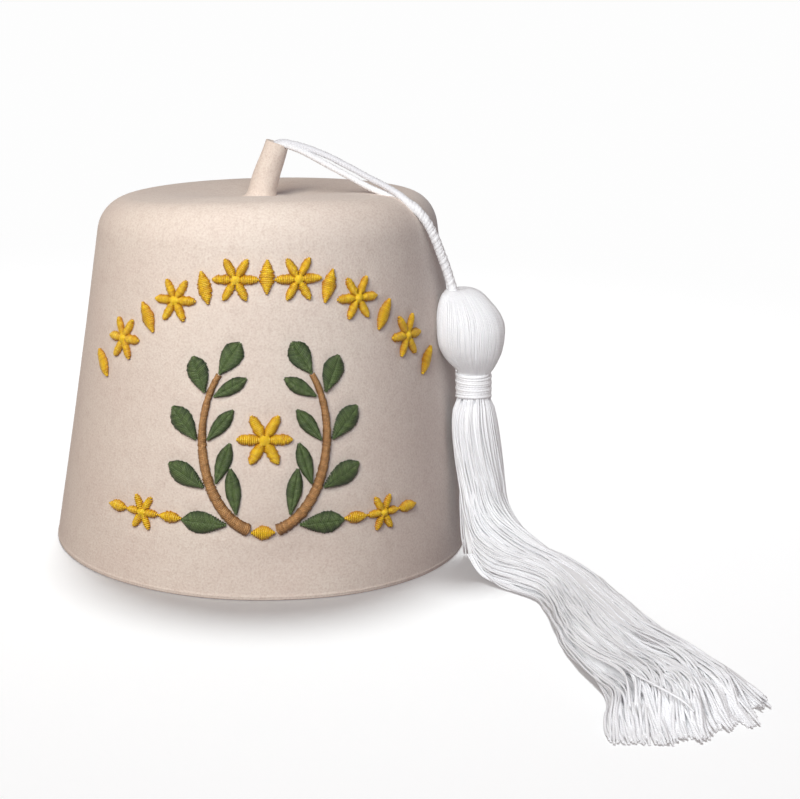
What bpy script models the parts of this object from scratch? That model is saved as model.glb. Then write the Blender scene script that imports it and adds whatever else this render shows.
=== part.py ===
# White felt fez hat standing on its rim: hollow crown, leaning stalk, limp cord, and a tassel whose
# skirt lies on the surface beside it.  Raised embroidery pads decorate the front, which faces -Y.
# Metres, +Z up, origin in the middle of the rim circle on the surface.

import math
import random
from collections import namedtuple

import bpy
import bmesh
from mathutils import Vector

MM = 0.001
MERGE_DISTANCE = 0.01 * MM
SMOOTH_ANGLE = 40.0                # edges sharper than this stay crisp, degrees
TASSEL_SMOOTH_ANGLE = 50.0
CURVE_STEPS = 12                   # fine points between two of a route's own

# crown: a tapered wall whose side line, carried on, would meet the plane of the top at TOP_RADIUS
RIM_RADIUS = 93.0 * MM
TOP_RADIUS = 72.3 * MM
CROWN_HEIGHT = 155.1 * MM
EDGE_ROUNDING = 15.3 * MM
TOP_DOME = 2.0 * MM
FELT = 2.5 * MM
TOP_RISE_RIGHT = 3.3 * MM          # the +X edge of the top stands this much higher than its middle
SHOULDER_HEIGHT = CROWN_HEIGHT - EDGE_ROUNDING
CROWN_STEPS = 54
SIDE_ROWS = 12
ROUNDING_STEPS = 6
DOME_STEPS = 3
INNER_ROWS = 5
INNER_ROUNDING_STEPS = 4
INNER_DOME_STEPS = 2

# one shallow hollow in the front wall, a hand's pressure low down and right of the middle
DENT_DEPTH = 1.2 * MM
DENT_TURN = 7.0                    # degrees from the front, towards +X
DENT_TURN_SPREAD = 13.0
DENT_HEIGHT = 17.0 * MM
DENT_HEIGHT_SPREAD = 15.0 * MM
OUT_OF_ROUND = 0.4 * MM            # faint oval at half height, fading to rim and shoulder
OUT_OF_ROUND_TURN = 63.0

# stalk: a rolled felt stub that leans to +X
STEM_FOOT_X = -1.8 * MM
STEM_TIP = Vector((3.9, 0.0, 177.1)) * MM
STEM_TIP_LEAN = 17.0               # degrees from upright at the cut tip
STEM_RADIUS = 4.8 * MM
STEM_SIDES = 6                     # in each quarter of the stub
SEAT_SIDES = 4
Flare = namedtuple("Flare", "share radius")       # share of the stub's length, radius in mm
STEM_FLARES = tuple(Flare(*row) for row in (
    (0.0, 8.2),
    (0.05, 6.7),
    (0.13, 5.7),
    (0.28, 5.15),
    (0.6, 4.85),
    (1.0, 4.75),
))

GAP = 0.3 * MM                     # left between pieces that touch

# cord: x, y, z in mm of its middle line, from the stalk's tip over the shoulder to the tassel
CORD_DIAMETER = 5.0 * MM
CORD_SPACING = 11.0 * MM
CORD_SIDES = 3                     # in each quarter of the cord
CORD_ROUTE = (
    (5.6, -1.6, 177.3),
    (9.4, -4.0, 176.6),
    (15.4, -7.8, 174.9),
    (22.3, -12.2, 172.3),
    (29.1, -16.4, 169.4),
    (35.9, -20.6, 166.6),
    (42.4, -24.6, 163.8),
    (48.9, -28.6, 161.7),
    (55.6, -33.0, 159.8),
    (62.0, -36.0, 156.0),
    (67.0, -36.6, 149.9),
    (70.8, -35.6, 143.0),
    (74.6, -34.2, 135.8),
    (78.2, -32.8, 128.6),
    (81.6, -31.6, 121.2),
)

# tassel: sections from the head's top to the cut ends.  x, y, z is the section's middle, across_deg the
# heading of its width line seen from above, half_width and half_depth its half sizes; all mm.
Section = namedtuple("Section", "x y z half_width half_depth across_deg")
HEAD = tuple(Section(*row) for row in (
    (82.3, -31.3, 119.6, 3.6, 3.4, 70.0),
    (84.2, -31.3, 117.6, 7.4, 7.0, 70.0),
    (85.5, -31.3, 114.9, 10.6, 9.9, 70.0),
    (87.3, -31.8, 109.8, 13.6, 12.8, 70.0),
    (88.4, -32.2, 104.2, 14.8, 13.8, 70.0),
    (88.8, -32.3, 98.9, 14.5, 13.5, 70.0),
    (89.0, -32.4, 94.0, 13.2, 12.4, 70.0),
    (89.5, -32.6, 89.2, 10.9, 10.5, 70.0),
    (90.2, -32.8, 85.6, 7.4, 7.4, 70.0),
    (90.4, -32.9, 84.0, 6.2, 6.2, 70.0),
))
SKIRT = tuple(Section(*row) for row in (
    (90.9, -33.1, 71.6, 6.2, 6.2, 70.0),
    (91.1, -33.2, 69.0, 8.2, 7.8, 68.0),
    (91.6, -33.5, 62.0, 9.6, 8.8, 66.0),
    (93.4, -34.3, 49.8, 10.4, 9.3, 62.0),
    (95.6, -35.5, 36.5, 10.6, 9.3, 58.0),
    (98.6, -39.0, 24.0, 11.3, 8.9, 50.0),
    (103.6, -47.0, 14.0, 13.2, 8.2, 40.0),
    (111.0, -60.0, 8.4, 16.2, 7.4, 28.0),
    (120.0, -73.0, 7.0, 15.6, 6.6, 20.0),
    (127.0, -87.0, 6.1, 15.0, 5.8, 14.0),
    (131.0, -103.0, 5.4, 16.5, 5.1, 10.0),
    (134.0, -120.0, 5.0, 19.2, 4.7, 10.0),
    (137.0, -137.0, 4.7, 21.8, 4.4, 12.0),
    (141.0, -154.0, 4.5, 22.8, 4.2, 15.0),
    (146.0, -171.0, 4.3, 24.2, 4.0, 16.0),
    (149.6, -186.0, 4.0, 26.5, 3.7, 17.0),
    (150.8, -199.0, 3.7, 30.0, 3.4, 21.0),
    (150.4, -211.0, 3.3, 34.0, 3.0, 26.0),
))
NECK_TOP = HEAD[-1]
NECK_FOOT = SKIRT[0]
CORE_SIDES = 24
CORE_STEPS = 22
CORE_FILL = 0.74                   # the core's share of each skirt section; the locks make up the rest
CORE_END = 0.90                    # where the core stops along the skirt; the locks run on
CORE_TIP = 0.8                     # the core's last ring, as a share of the others
CORE_FLOOR = 1.4 * MM
HEAD_RIB = 0.022                   # how far every other line of the head stands out
LOCKS = 11
LOCK_SIDES = 7
LOCK_STEPS = 20
LOCK_RING = 0.72                   # where the locks' middles lie in a round section
LOCK_RING_FLAT = 0.43              # and how high or low they lie in a flat one
FLATNESS = 0.6                     # a section this much lower than wide counts as flat
LOCK_SIZE = 0.29
LOCK_SIZE_FLAT = 0.55
LOCK_ROOT = 0.55                   # the first ring's share, hidden in the neck
LOCK_TIP = 0.62                    # the last ring's share
LOCK_END_SPREAD = 0.05             # how much earlier than the longest a lock may end
LOCK_TWIST = 0.9                   # radians that the locks turn down the hanging stretch
LOCK_TWIST_END = 0.35
LOCK_SWAY = 0.035
LOCK_SWAY_RATE = 9.0
LOCK_SWAY_START = 0.25
FAN_START = 0.72                   # from here the locks spread side by side
FAN_REACH = 0.88
FAN_STAGGER = 0.25                 # neighbours lie this much higher or lower in turn
FAN_LOCK_WIDTH = 0.115
FAN_LOCK_HEIGHT = 0.72
LOCK_FLOOR = 0.3 * MM
LOCK_FLOOR_STEP = 0.06 * MM
LOCK_SEED = 7

# wound ring round the tassel's neck
BINDING_TURNS = 6
BINDING_INNER = 6.6 * MM
BINDING_OUTER = 7.7 * MM
BINDING_GROOVE = 0.35 * MM
BINDING_STEPS = 24

# embroidery: pads in millimetres on the unrolled wall; turn is in degrees from the front
PAD_UNDER = 0.4 * MM
PAD_EDGE = 1.0 * MM
PAD_CREST = 1.6 * MM
PAD_THIN = 0.45                    # a pad's thickness where it narrows to a point
ARCH_TURN = 57.0                   # the arch runs this far to each side
ARCH_CREST_HEIGHT = 131.0
ARCH_DROP = 0.0128                 # mm of drop for each squared degree of turn
ARCH_ROSETTES = 6
ROSETTE_RADIUS = 9.2
ROSETTE_PETALS = 6
PETAL_SAMPLES = 5
PETAL_ROOT = 0.4                   # reach between two petals, as a share of the radius
PETAL_CREST = 0.55
LOZENGE_LENGTH = 13.0
LOZENGE_WIDTH = 6.0
CORNER_TURN = 34.0
CORNER_HEIGHT = 32.0
CORNER_ROSETTE_RADIUS = 7.6
CORNER_SPREAD = 8.6
CORNER_LOZENGE_SIZE = 0.75         # of an arch lozenge
WREATH_HEIGHT = 66.0
WREATH_HALF_WIDTH = 25.5
WREATH_HALF_HEIGHT = 38.0
WREATH_ROSETTE_RADIUS = 11.0
CLASP_LENGTH = 9.0
CLASP_WIDTH = 6.0
STALK_FROM = 13.0                  # degrees round the wreath from its foot
STALK_TO = 132.0
STALK_WIDTH = 4.6
STALK_TIP_WIDTH = 2.0
STALK_STEPS = 12
LEAF_PLACES = (31.0, 60.0, 89.0, 118.0)
TIP_LEAF_PLACE = 134.0
LEAF_LENGTH = 18.0
LEAF_TIP_LENGTH = 14.5
LEAF_WIDTH = 9.0                   # on the wreath's outer side
INNER_LEAF_WIDTH = 5.8
LEAF_STANDOFF = 1.1                # between a leaf's base and its stalk's edge
LEAF_SHARES = (0.0, 0.22, 0.5, 0.78, 1.0)
LEAF_FULLNESS = 0.8
LEAF_POINT = 0.12                  # least width of a leaf's ends, as a share of its width
LEAF_SPLAY = 40.0                  # degrees between a leaf and its stalk

COLOURS = {
    "felt": ((0.80, 0.74, 0.67), 0.95),
    "white_cord": ((0.88, 0.88, 0.87), 0.55),
    "white_rayon": ((0.90, 0.90, 0.90), 0.42),
    "gold_thread": ((0.80, 0.52, 0.03), 0.40),
    "green_thread": ((0.05, 0.10, 0.035), 0.48),
    "brown_thread": ((0.42, 0.24, 0.11), 0.48),
}


def clear_scene():
    for obj in list(bpy.data.objects):
        bpy.data.objects.remove(obj, do_unlink=True)


def new_collection(name):
    collection = bpy.data.collections.new(name)
    bpy.context.scene.collection.children.link(collection)
    return collection


def make_material(name):
    colour, roughness = COLOURS[name]
    material = bpy.data.materials.new(name)
    material.use_nodes = True
    shader = material.node_tree.nodes["Principled BSDF"]
    shader.inputs["Base Color"].default_value = (*colour, 1.0)
    shader.inputs["Roughness"].default_value = roughness
    shader.inputs["Metallic"].default_value = 0.0
    return material


def add_object(name, data, collection, material=None):
    obj = bpy.data.objects.new(name, data)
    collection.objects.link(obj)
    if material:
        data.materials.append(material)
    return obj


def evaluated_mesh(obj):
    """The finished surface of an object, its doubled points merged."""
    bpy.context.view_layer.update()
    source = obj.evaluated_get(bpy.context.evaluated_depsgraph_get())
    mesh = bpy.data.meshes.new_from_object(source)
    bm = bmesh.new()
    bm.from_mesh(mesh)
    bmesh.ops.remove_doubles(bm, verts=bm.verts, dist=MERGE_DISTANCE)
    bm.to_mesh(mesh)
    bm.free()
    return mesh


def as_mesh(obj, collection, material):
    """Replace an object by a plain mesh object of the same name and place."""
    name = obj.name
    mesh = evaluated_mesh(obj)
    mesh.materials.clear()
    matrix = obj.matrix_world.copy()
    bpy.data.objects.remove(obj, do_unlink=True)
    plain = add_object(name, mesh, collection, material)
    plain.matrix_world = matrix
    return plain


def smooth_shading(mesh, angle=SMOOTH_ANGLE):
    mesh.shade_smooth()
    mesh.set_sharp_from_angle(angle=math.radians(angle))


def screw(name, profile, steps, collection):
    """Turn a profile of (radius, height) points about Z."""
    mesh = bpy.data.meshes.new(name)
    edges = [(i, i + 1) for i in range(len(profile) - 1)]
    mesh.from_pydata([(r, 0.0, z) for r, z in profile], edges, [])
    obj = add_object(name, mesh, collection)
    turn = obj.modifiers.new("turn", "SCREW")
    turn.axis = "Z"
    turn.steps = steps
    turn.render_steps = steps
    turn.use_merge_vertices = True
    turn.merge_threshold = MERGE_DISTANCE
    return obj


# ---- crown ----

def wall_lines(inset):
    """Corner figures of the crown's profile, inset by the wall's thickness."""
    slope = (RIM_RADIUS - TOP_RADIUS) / CROWN_HEIGHT
    lean = math.atan(slope)
    rim = RIM_RADIUS - inset / math.cos(lean)
    top = CROWN_HEIGHT - inset
    corner = rim - slope * top
    rounding = EDGE_ROUNDING - inset
    reach = rounding * math.tan((math.pi / 2 - lean) / 2)
    centre = (corner - reach, top - rounding)
    return slope, lean, rim, top, rounding, centre


def shell_line(inset, rows, arc_steps, dome_steps):
    """Profile from the middle of the top, over the rounded edge, down the wall to the rim."""
    slope, lean, rim, top, rounding, centre = wall_lines(inset)
    points = []
    for i in range(dome_steps):
        share = i / dome_steps
        points.append((centre[0] * share, top + TOP_DOME * (1 - share * share)))
    for i in range(arc_steps + 1):
        angle = math.pi / 2 + (lean - math.pi / 2) * i / arc_steps
        points.append((centre[0] + rounding * math.cos(angle), centre[1] + rounding * math.sin(angle)))
    start_height = points[-1][1]
    for i in range(1, rows + 1):
        height = start_height * (1 - i / rows)
        points.append((rim - slope * height, height))
    return points


def felt_form(point):
    """The crown's lean, its faint oval and its one dent, applied to a point of the plain turned form."""
    x, y, z = point
    radius = math.hypot(x, y)
    if z < SHOULDER_HEIGHT:
        turn = math.degrees(math.atan2(x, -y))
        across = (turn - DENT_TURN) / DENT_TURN_SPREAD
        up = (z - DENT_HEIGHT) / DENT_HEIGHT_SPREAD
        shift = -DENT_DEPTH * math.exp(-across * across - up * up)
        share = z / SHOULDER_HEIGHT
        oval = math.sin(math.radians(2 * turn + OUT_OF_ROUND_TURN))
        shift += OUT_OF_ROUND * oval * 4 * share * (1 - share)
        x += x / radius * shift
        y += y / radius * shift
    z += z / CROWN_HEIGHT * TOP_RISE_RIGHT * x / TOP_RADIUS
    return Vector((x, y, z))


def make_crown(collection, material):
    outside = shell_line(0.0, SIDE_ROWS, ROUNDING_STEPS, DOME_STEPS)
    inside = shell_line(FELT, INNER_ROWS, INNER_ROUNDING_STEPS, INNER_DOME_STEPS)
    profile = outside + inside[::-1]
    crown = as_mesh(screw("crown", profile, CROWN_STEPS, collection), collection, material)
    for vertex in crown.data.vertices:
        vertex.co = felt_form(vertex.co)
    smooth_shading(crown.data)
    return crown


# ---- curves ----

def smooth_points(route, spacing):
    """Evenly spaced points on a smooth curve through the route's own points."""
    points = [Vector(p) for p in route]
    padded = [2 * points[0] - points[1]] + points + [2 * points[-1] - points[-2]]
    fine = []
    for a, b, c, d in zip(padded, padded[1:], padded[2:], padded[3:]):
        for i in range(CURVE_STEPS):
            t = i / CURVE_STEPS
            fine.append(0.5 * (2 * b + (c - a) * t + (2 * a - 5 * b + 4 * c - d) * t ** 2
                               + (3 * b - a - 3 * c + d) * t ** 3))
    fine.append(points[-1])
    lengths = [0.0]
    for a, b in zip(fine, fine[1:]):
        lengths.append(lengths[-1] + (b - a).length)
    count = max(2, round(lengths[-1] / spacing))
    result = []
    at = 0
    for i in range(count + 1):
        target = lengths[-1] * i / count
        while at < len(fine) - 2 and lengths[at + 1] < target:
            at += 1
        span = lengths[at + 1] - lengths[at]
        result.append(fine[at].lerp(fine[at + 1], (target - lengths[at]) / span))
    return result


def poly_tube(name, points, radii, depth, resolution, collection, material):
    curve = bpy.data.curves.new(name, "CURVE")
    curve.dimensions = "3D"
    curve.bevel_depth = depth
    curve.bevel_resolution = resolution
    curve.use_fill_caps = True
    spline = curve.splines.new("POLY")
    spline.points.add(len(points) - 1)
    for target, point, radius in zip(spline.points, points, radii):
        target.co = (*point, 1.0)
        target.radius = radius
    return add_object(name, curve, collection, material)


# ---- stalk and cord ----

def make_stem(collection, cutters, material):
    """The felt stub, with a groove in its cut tip that the cord lies in."""
    tilt = TOP_RISE_RIGHT / TOP_RADIUS
    crown_top = CROWN_HEIGHT + TOP_DOME
    foot = Vector((STEM_FOOT_X, 0.0, crown_top + tilt * STEM_FOOT_X + GAP))
    up_foot = Vector((-tilt, 0.0, 1.0)).normalized()
    lean = math.radians(STEM_TIP_LEAN)
    up_tip = Vector((math.sin(lean), 0.0, math.cos(lean)))
    reach = (STEM_TIP - foot).length / 3
    handles = (foot, foot + up_foot * reach, STEM_TIP - up_tip * reach, STEM_TIP)
    points = []
    radii = []
    for flare in STEM_FLARES:
        t = flare.share
        s = 1 - t
        points.append(handles[0] * s ** 3 + handles[1] * 3 * s * s * t
                      + handles[2] * 3 * s * t * t + handles[3] * t ** 3)
        radii.append(flare.radius * MM / STEM_RADIUS)
    stem = poly_tube("stem", points, radii, STEM_RADIUS, STEM_SIDES, collection, material)
    stem = as_mesh(stem, collection, material)

    start = Vector(CORD_ROUTE[0]) * MM
    heading = (Vector(CORD_ROUTE[1]) * MM - start).normalized()
    seat_radius = CORD_DIAMETER / 2 + GAP
    seat_line = (start - heading * GAP, start + heading * 3 * STEM_RADIUS)
    seat = poly_tube("cord_seat_cutter", seat_line, (1.0, 1.0), seat_radius, SEAT_SIDES, cutters,
                     None)
    seat = as_mesh(seat, cutters, None)
    seat.hide_render = True
    seat.display_type = "WIRE"
    cut = stem.modifiers.new("cord seat", "BOOLEAN")
    cut.operation = "DIFFERENCE"
    cut.solver = "EXACT"
    cut.object = seat
    smooth_shading(stem.data)
    return stem


def make_cord(collection, material):
    route = [Vector(p) * MM for p in CORD_ROUTE]
    points = smooth_points(route, CORD_SPACING)
    return poly_tube("tassel_cord", points, [1.0] * len(points), CORD_DIAMETER / 2, CORD_SIDES,
                     collection, material)


# ---- tassel ----

def loft(name, rings, collection, material=None):
    """A closed solid through rings of equal size, each end closed by a fan."""
    bm = bmesh.new()
    rows = [[bm.verts.new(p) for p in ring] for ring in rings]
    size = len(rows[0])
    for low, high in zip(rows, rows[1:]):
        for i in range(size):
            j = (i + 1) % size
            bm.faces.new((low[i], low[j], high[j], high[i]))
    for row in (rows[0], rows[-1]):
        middle = bm.verts.new(sum((v.co for v in row), Vector()) / size)
        for i in range(size):
            bm.faces.new((row[i], row[(i + 1) % size], middle))
    bmesh.ops.recalc_face_normals(bm, faces=bm.faces)
    mesh = bpy.data.meshes.new(name)
    bm.to_mesh(mesh)
    bm.free()
    return add_object(name, mesh, collection, material)


def section_frame(sections, t):
    """Middle, width line, height line, half width and half depth at share t of the sections."""
    place = min(max(t, 0.0), 0.99999) * (len(sections) - 1)
    i = int(place)
    f = place - i
    last = len(sections) - 1
    a, b, c, d = (sections[min(max(k, 0), last)] for k in (i - 1, i, i + 1, i + 2))

    def blend(name):
        p, q, r, s = (getattr(row, name) for row in (a, b, c, d))
        return 0.5 * (2 * q + (r - p) * f + (2 * p - 5 * q + 4 * r - s) * f ** 2
                      + (3 * q - p - 3 * r + s) * f ** 3)

    middle = Vector((blend("x"), blend("y"), blend("z"))) * MM
    along = Vector((c.x - b.x, c.y - b.y, c.z - b.z)).normalized()
    before = Vector((b.x - a.x, b.y - a.y, b.z - a.z))
    after = Vector((d.x - c.x, d.y - c.y, d.z - c.z))
    if f < 0.5 and before.length > 0:
        along = along.lerp(before.normalized(), 0.5 - f).normalized()
    elif f > 0.5 and after.length > 0:
        along = along.lerp(after.normalized(), f - 0.5).normalized()
    turn = math.radians(blend("across_deg"))
    across = Vector((math.cos(turn), math.sin(turn), 0.0))
    across = (across - along * across.dot(along)).normalized()
    up = along.cross(across).normalized()
    return middle, across, up, blend("half_width") * MM, blend("half_depth") * MM


def ring_points(middle, across, up, half_width, half_depth, sides, floor, rib=0.0):
    ring = []
    for i in range(sides):
        angle = 2 * math.pi * i / sides
        size = 1 + rib * (-1) ** i
        point = middle + across * (half_width * size * math.cos(angle))
        point += up * (half_depth * size * math.sin(angle))
        point.z = max(point.z, floor)
        ring.append(point)
    return ring


def core_rings():
    """Head, neck and the skirt's inner body in one loft."""
    rings = []
    for section in HEAD:
        turn = math.radians(section.across_deg)
        across = Vector((math.cos(turn), math.sin(turn), 0.0))
        depth = Vector((math.sin(turn), -math.cos(turn), 0.0))
        middle = Vector((section.x, section.y, section.z)) * MM
        rings.append(ring_points(middle, across, depth, section.half_width * MM,
                                 section.half_depth * MM, CORE_SIDES, CORE_FLOOR, HEAD_RIB))
    for i in range(CORE_STEPS + 1):
        t = CORE_END * i / CORE_STEPS
        middle, across, up, half_width, half_depth = section_frame(SKIRT, t)
        fill = 1.0 if i == 0 else CORE_FILL
        if i == CORE_STEPS:
            fill *= CORE_TIP
        rings.append(ring_points(middle, across, up, half_width * fill, half_depth * fill,
                                 CORE_SIDES, CORE_FLOOR))
    return rings


def lock_rings(index, rng):
    """Rings of one lock of threads, from inside the neck to its own cut end."""
    start_angle = 2 * math.pi * (index + 0.5) / LOCKS
    end = 1.0 - LOCK_END_SPREAD * rng.random()
    phase = rng.uniform(0, 2 * math.pi)
    order = sorted(range(LOCKS), key=lambda k: math.cos(2 * math.pi * (k + 0.5) / LOCKS + LOCK_TWIST))
    fan_place = FAN_REACH * (2 * order.index(index) / (LOCKS - 1) - 1)
    rings = []
    for i in range(LOCK_STEPS + 1):
        share = i / LOCK_STEPS
        t = end * share
        middle, across, up, half_width, half_depth = section_frame(SKIRT, t)
        flat = min(1.0, max(0.0, (1 - half_depth / half_width) / FLATNESS))
        angle = start_angle + LOCK_TWIST * min(1.0, t / LOCK_TWIST_END)
        sway = LOCK_SWAY * math.sin(LOCK_SWAY_RATE * t + phase) * min(1.0, t / LOCK_SWAY_START)
        u = LOCK_RING * math.cos(angle) + sway
        v = (LOCK_RING + (LOCK_RING_FLAT - LOCK_RING) * flat) * math.sin(angle)
        wide = LOCK_SIZE * half_width
        tall = (LOCK_SIZE + (LOCK_SIZE_FLAT - LOCK_SIZE) * flat) * half_depth
        fan = min(1.0, max(0.0, (t - FAN_START) / (1 - FAN_START)))
        fan = fan * fan * (3 - 2 * fan)
        u += (fan_place - u) * fan
        v += (FAN_STAGGER * (-1) ** order.index(index) - v) * fan
        wide += (FAN_LOCK_WIDTH * half_width - wide) * fan
        tall += (FAN_LOCK_HEIGHT * half_depth - tall) * fan
        inside = LOCK_ROOT if i == 0 else 1.0
        taper = LOCK_TIP if i == LOCK_STEPS else 1.0
        centre = middle + across * (u * half_width * inside) + up * (v * half_depth * inside)
        floor = LOCK_FLOOR + LOCK_FLOOR_STEP * index
        rings.append(ring_points(centre, across, up, wide * taper * inside, tall * taper * inside,
                                 LOCK_SIDES, floor))
    return rings


def outer_shell(mesh):
    """Keep the largest connected skin, so that no sealed pocket stays between the locks."""
    bm = bmesh.new()
    bm.from_mesh(mesh)
    unseen = set(bm.faces)
    skins = []
    while unseen:
        queue = [unseen.pop()]
        skin = []
        while queue:
            face = queue.pop()
            skin.append(face)
            for edge in face.edges:
                for other in edge.link_faces:
                    if other in unseen:
                        unseen.remove(other)
                        queue.append(other)
        skins.append(skin)
    largest = max(skins, key=len)
    pockets = [face for skin in skins if skin is not largest for face in skin]
    bmesh.ops.delete(bm, geom=pockets, context="FACES")
    bm.to_mesh(mesh)
    bm.free()


def make_tassel(collection, cutters, material):
    rng = random.Random(LOCK_SEED)
    tassel = loft("tassel", core_rings(), collection, material)
    for index in range(LOCKS):
        lock = loft(f"lock_{index + 1}", lock_rings(index, rng), cutters)
        join = tassel.modifiers.new(f"lock {index + 1}", "BOOLEAN")
        join.operation = "UNION"
        join.solver = "MANIFOLD"       # keeps the head where many lock faces run nearly parallel
        join.object = lock
        lock.hide_render = True
        lock.display_type = "WIRE"
    tassel = as_mesh(tassel, collection, material)
    outer_shell(tassel.data)
    smooth_shading(tassel.data, TASSEL_SMOOTH_ANGLE)
    return tassel


def make_binding(collection, material):
    """Thread wound round the neck, turned as one scalloped ring."""
    top = Vector(NECK_TOP[:3]) * MM
    foot = Vector(NECK_FOOT[:3]) * MM
    axis = top - foot
    height = axis.length - 2 * GAP
    pitch = height / BINDING_TURNS
    outside = [(BINDING_OUTER - BINDING_GROOVE, height / 2)]
    for turn in range(BINDING_TURNS):
        middle = height / 2 - (turn + 0.5) * pitch
        outside.append((BINDING_OUTER, middle))
        outside.append((BINDING_OUTER - BINDING_GROOVE, middle - pitch / 2))
    profile = outside + [(BINDING_INNER, -height / 2), (BINDING_INNER, height / 2), outside[0]]
    ring = as_mesh(screw("neck_binding", profile, BINDING_STEPS, collection), collection, material)
    ring.location = (top + foot) / 2
    ring.rotation_mode = "QUATERNION"
    ring.rotation_quaternion = axis.to_track_quat("Z", "Y")
    smooth_shading(ring.data)
    return ring


# ---- embroidery ----

def felt_point(across, height, lift, turn=0.0):
    """A point over the front wall: across and height in mm on the unrolled wall, lift in metres."""
    slope, lean, rim, _, _, _ = wall_lines(0.0)
    radius = rim - slope * height * MM
    angle = math.radians(turn) + across * MM / radius
    out = radius + lift * math.cos(lean)
    plain = Vector((out * math.sin(angle), -out * math.cos(angle), height * MM + lift * math.sin(lean)))
    return felt_form(plain)


def strip_pad(name, line, half_widths, turn, collection, material):
    """A raised satin pad along a line of (across, height) points, with a crest down its middle."""
    rings = []
    last = len(line) - 1
    for i, ((u, v), half) in enumerate(zip(line, half_widths)):
        u0, v0 = line[max(i - 1, 0)]
        u1, v1 = line[min(i + 1, last)]
        length = math.hypot(u1 - u0, v1 - v0)
        nu, nv = -(v1 - v0) / length, (u1 - u0) / length
        thick = min(1.0, PAD_THIN + half / max(half_widths))
        crest = PAD_UNDER + (PAD_CREST - PAD_UNDER) * thick
        edge = PAD_UNDER + (PAD_EDGE - PAD_UNDER) * thick
        ring = [(-half, PAD_UNDER), (half, PAD_UNDER), (half, edge), (0.0, crest), (-half, edge)]
        rings.append([felt_point(u + nu * side, v + nv * side, lift, turn) for side, lift in ring])
    return loft(name, rings, collection, material)


def leaf_pad(name, base, heading, length, width, turn, collection, material):
    """A pointed oval pad from its base, heading in degrees from the +across direction."""
    du, dv = math.cos(math.radians(heading)), math.sin(math.radians(heading))
    line = [(base[0] + du * length * s, base[1] + dv * length * s) for s in LEAF_SHARES]
    halves = [width / 2 * max(LEAF_POINT, math.sin(math.pi * s) ** LEAF_FULLNESS) for s in LEAF_SHARES]
    return strip_pad(name, line, halves, turn, collection, material)


def rosette_pad(name, middle, radius, turn, collection, material):
    """A flower of satin petals round a middle, as one pad."""
    samples = PETAL_SAMPLES * ROSETTE_PETALS
    mean = (1 + PETAL_ROOT) / 2
    wave = (1 - PETAL_ROOT) / 2
    under, edge, inner = [], [], []
    for i in range(samples):
        angle = 2 * math.pi * i / samples
        reach = radius * (mean + wave * math.cos(ROSETTE_PETALS * angle))
        cu, cv = math.cos(angle), math.sin(angle)
        under.append(felt_point(middle[0] + reach * cu, middle[1] + reach * cv, PAD_UNDER, turn))
        edge.append(felt_point(middle[0] + reach * cu, middle[1] + reach * cv, PAD_EDGE, turn))
        crest = PETAL_CREST * reach
        inner.append(felt_point(middle[0] + crest * cu, middle[1] + crest * cv, PAD_CREST, turn))
    return loft(name, (under, edge, inner), collection, material)


def arch_height(turn):
    return ARCH_CREST_HEIGHT - ARCH_DROP * turn * turn


def make_arch(collection, gold):
    """Rosettes along a falling arch, a lozenge between each pair and one past each end."""
    step = 2 * ARCH_TURN / ARCH_ROSETTES
    for i in range(ARCH_ROSETTES):
        turn = -ARCH_TURN + step * (i + 0.5)
        rosette_pad(f"arch_rosette_{i + 1}", (0.0, arch_height(turn)), ROSETTE_RADIUS, turn,
                    collection, gold)
    for i in range(ARCH_ROSETTES + 1):
        turn = -ARCH_TURN + step * i
        height = arch_height(turn)
        fall = -2 * ARCH_DROP * turn * math.degrees(1.0) / (RIM_RADIUS / MM)
        heading = 90 + math.degrees(math.atan(fall))
        du = math.cos(math.radians(heading)) * LOZENGE_LENGTH / 2
        dv = math.sin(math.radians(heading)) * LOZENGE_LENGTH / 2
        leaf_pad(f"arch_lozenge_{i + 1}", (-du, height - dv), heading, LOZENGE_LENGTH, LOZENGE_WIDTH,
                 turn, collection, gold)


def make_corners(collection, gold):
    """A small rosette between two lozenges, low at the left and at the right."""
    for side, name in ((-1, "left"), (1, "right")):
        turn = side * CORNER_TURN
        rosette_pad(f"{name}_rosette", (0.0, CORNER_HEIGHT), CORNER_ROSETTE_RADIUS, turn,
                    collection, gold)
        for end, place in ((-1, "outer"), (1, "inner")):
            across = -side * end * CORNER_SPREAD
            heading = 0.0 if across > 0 else 180.0
            leaf_pad(f"{name}_{place}_lozenge", (across, CORNER_HEIGHT), heading,
                     CORNER_LOZENGE_SIZE * LOZENGE_LENGTH, CORNER_LOZENGE_SIZE * LOZENGE_WIDTH,
                     turn, collection, gold)


def wreath_point(place, side):
    angle = math.radians(place)
    return (side * WREATH_HALF_WIDTH * math.sin(angle),
            WREATH_HEIGHT - WREATH_HALF_HEIGHT * math.cos(angle))


def wreath_heading(place, side):
    angle = math.radians(place)
    return math.degrees(math.atan2(WREATH_HALF_HEIGHT * math.sin(angle),
                                   side * WREATH_HALF_WIDTH * math.cos(angle)))


def stalk_half_width(place):
    share = (place - STALK_FROM) / (STALK_TO - STALK_FROM)
    return (STALK_WIDTH + (STALK_TIP_WIDTH - STALK_WIDTH) * share) / 2


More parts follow.
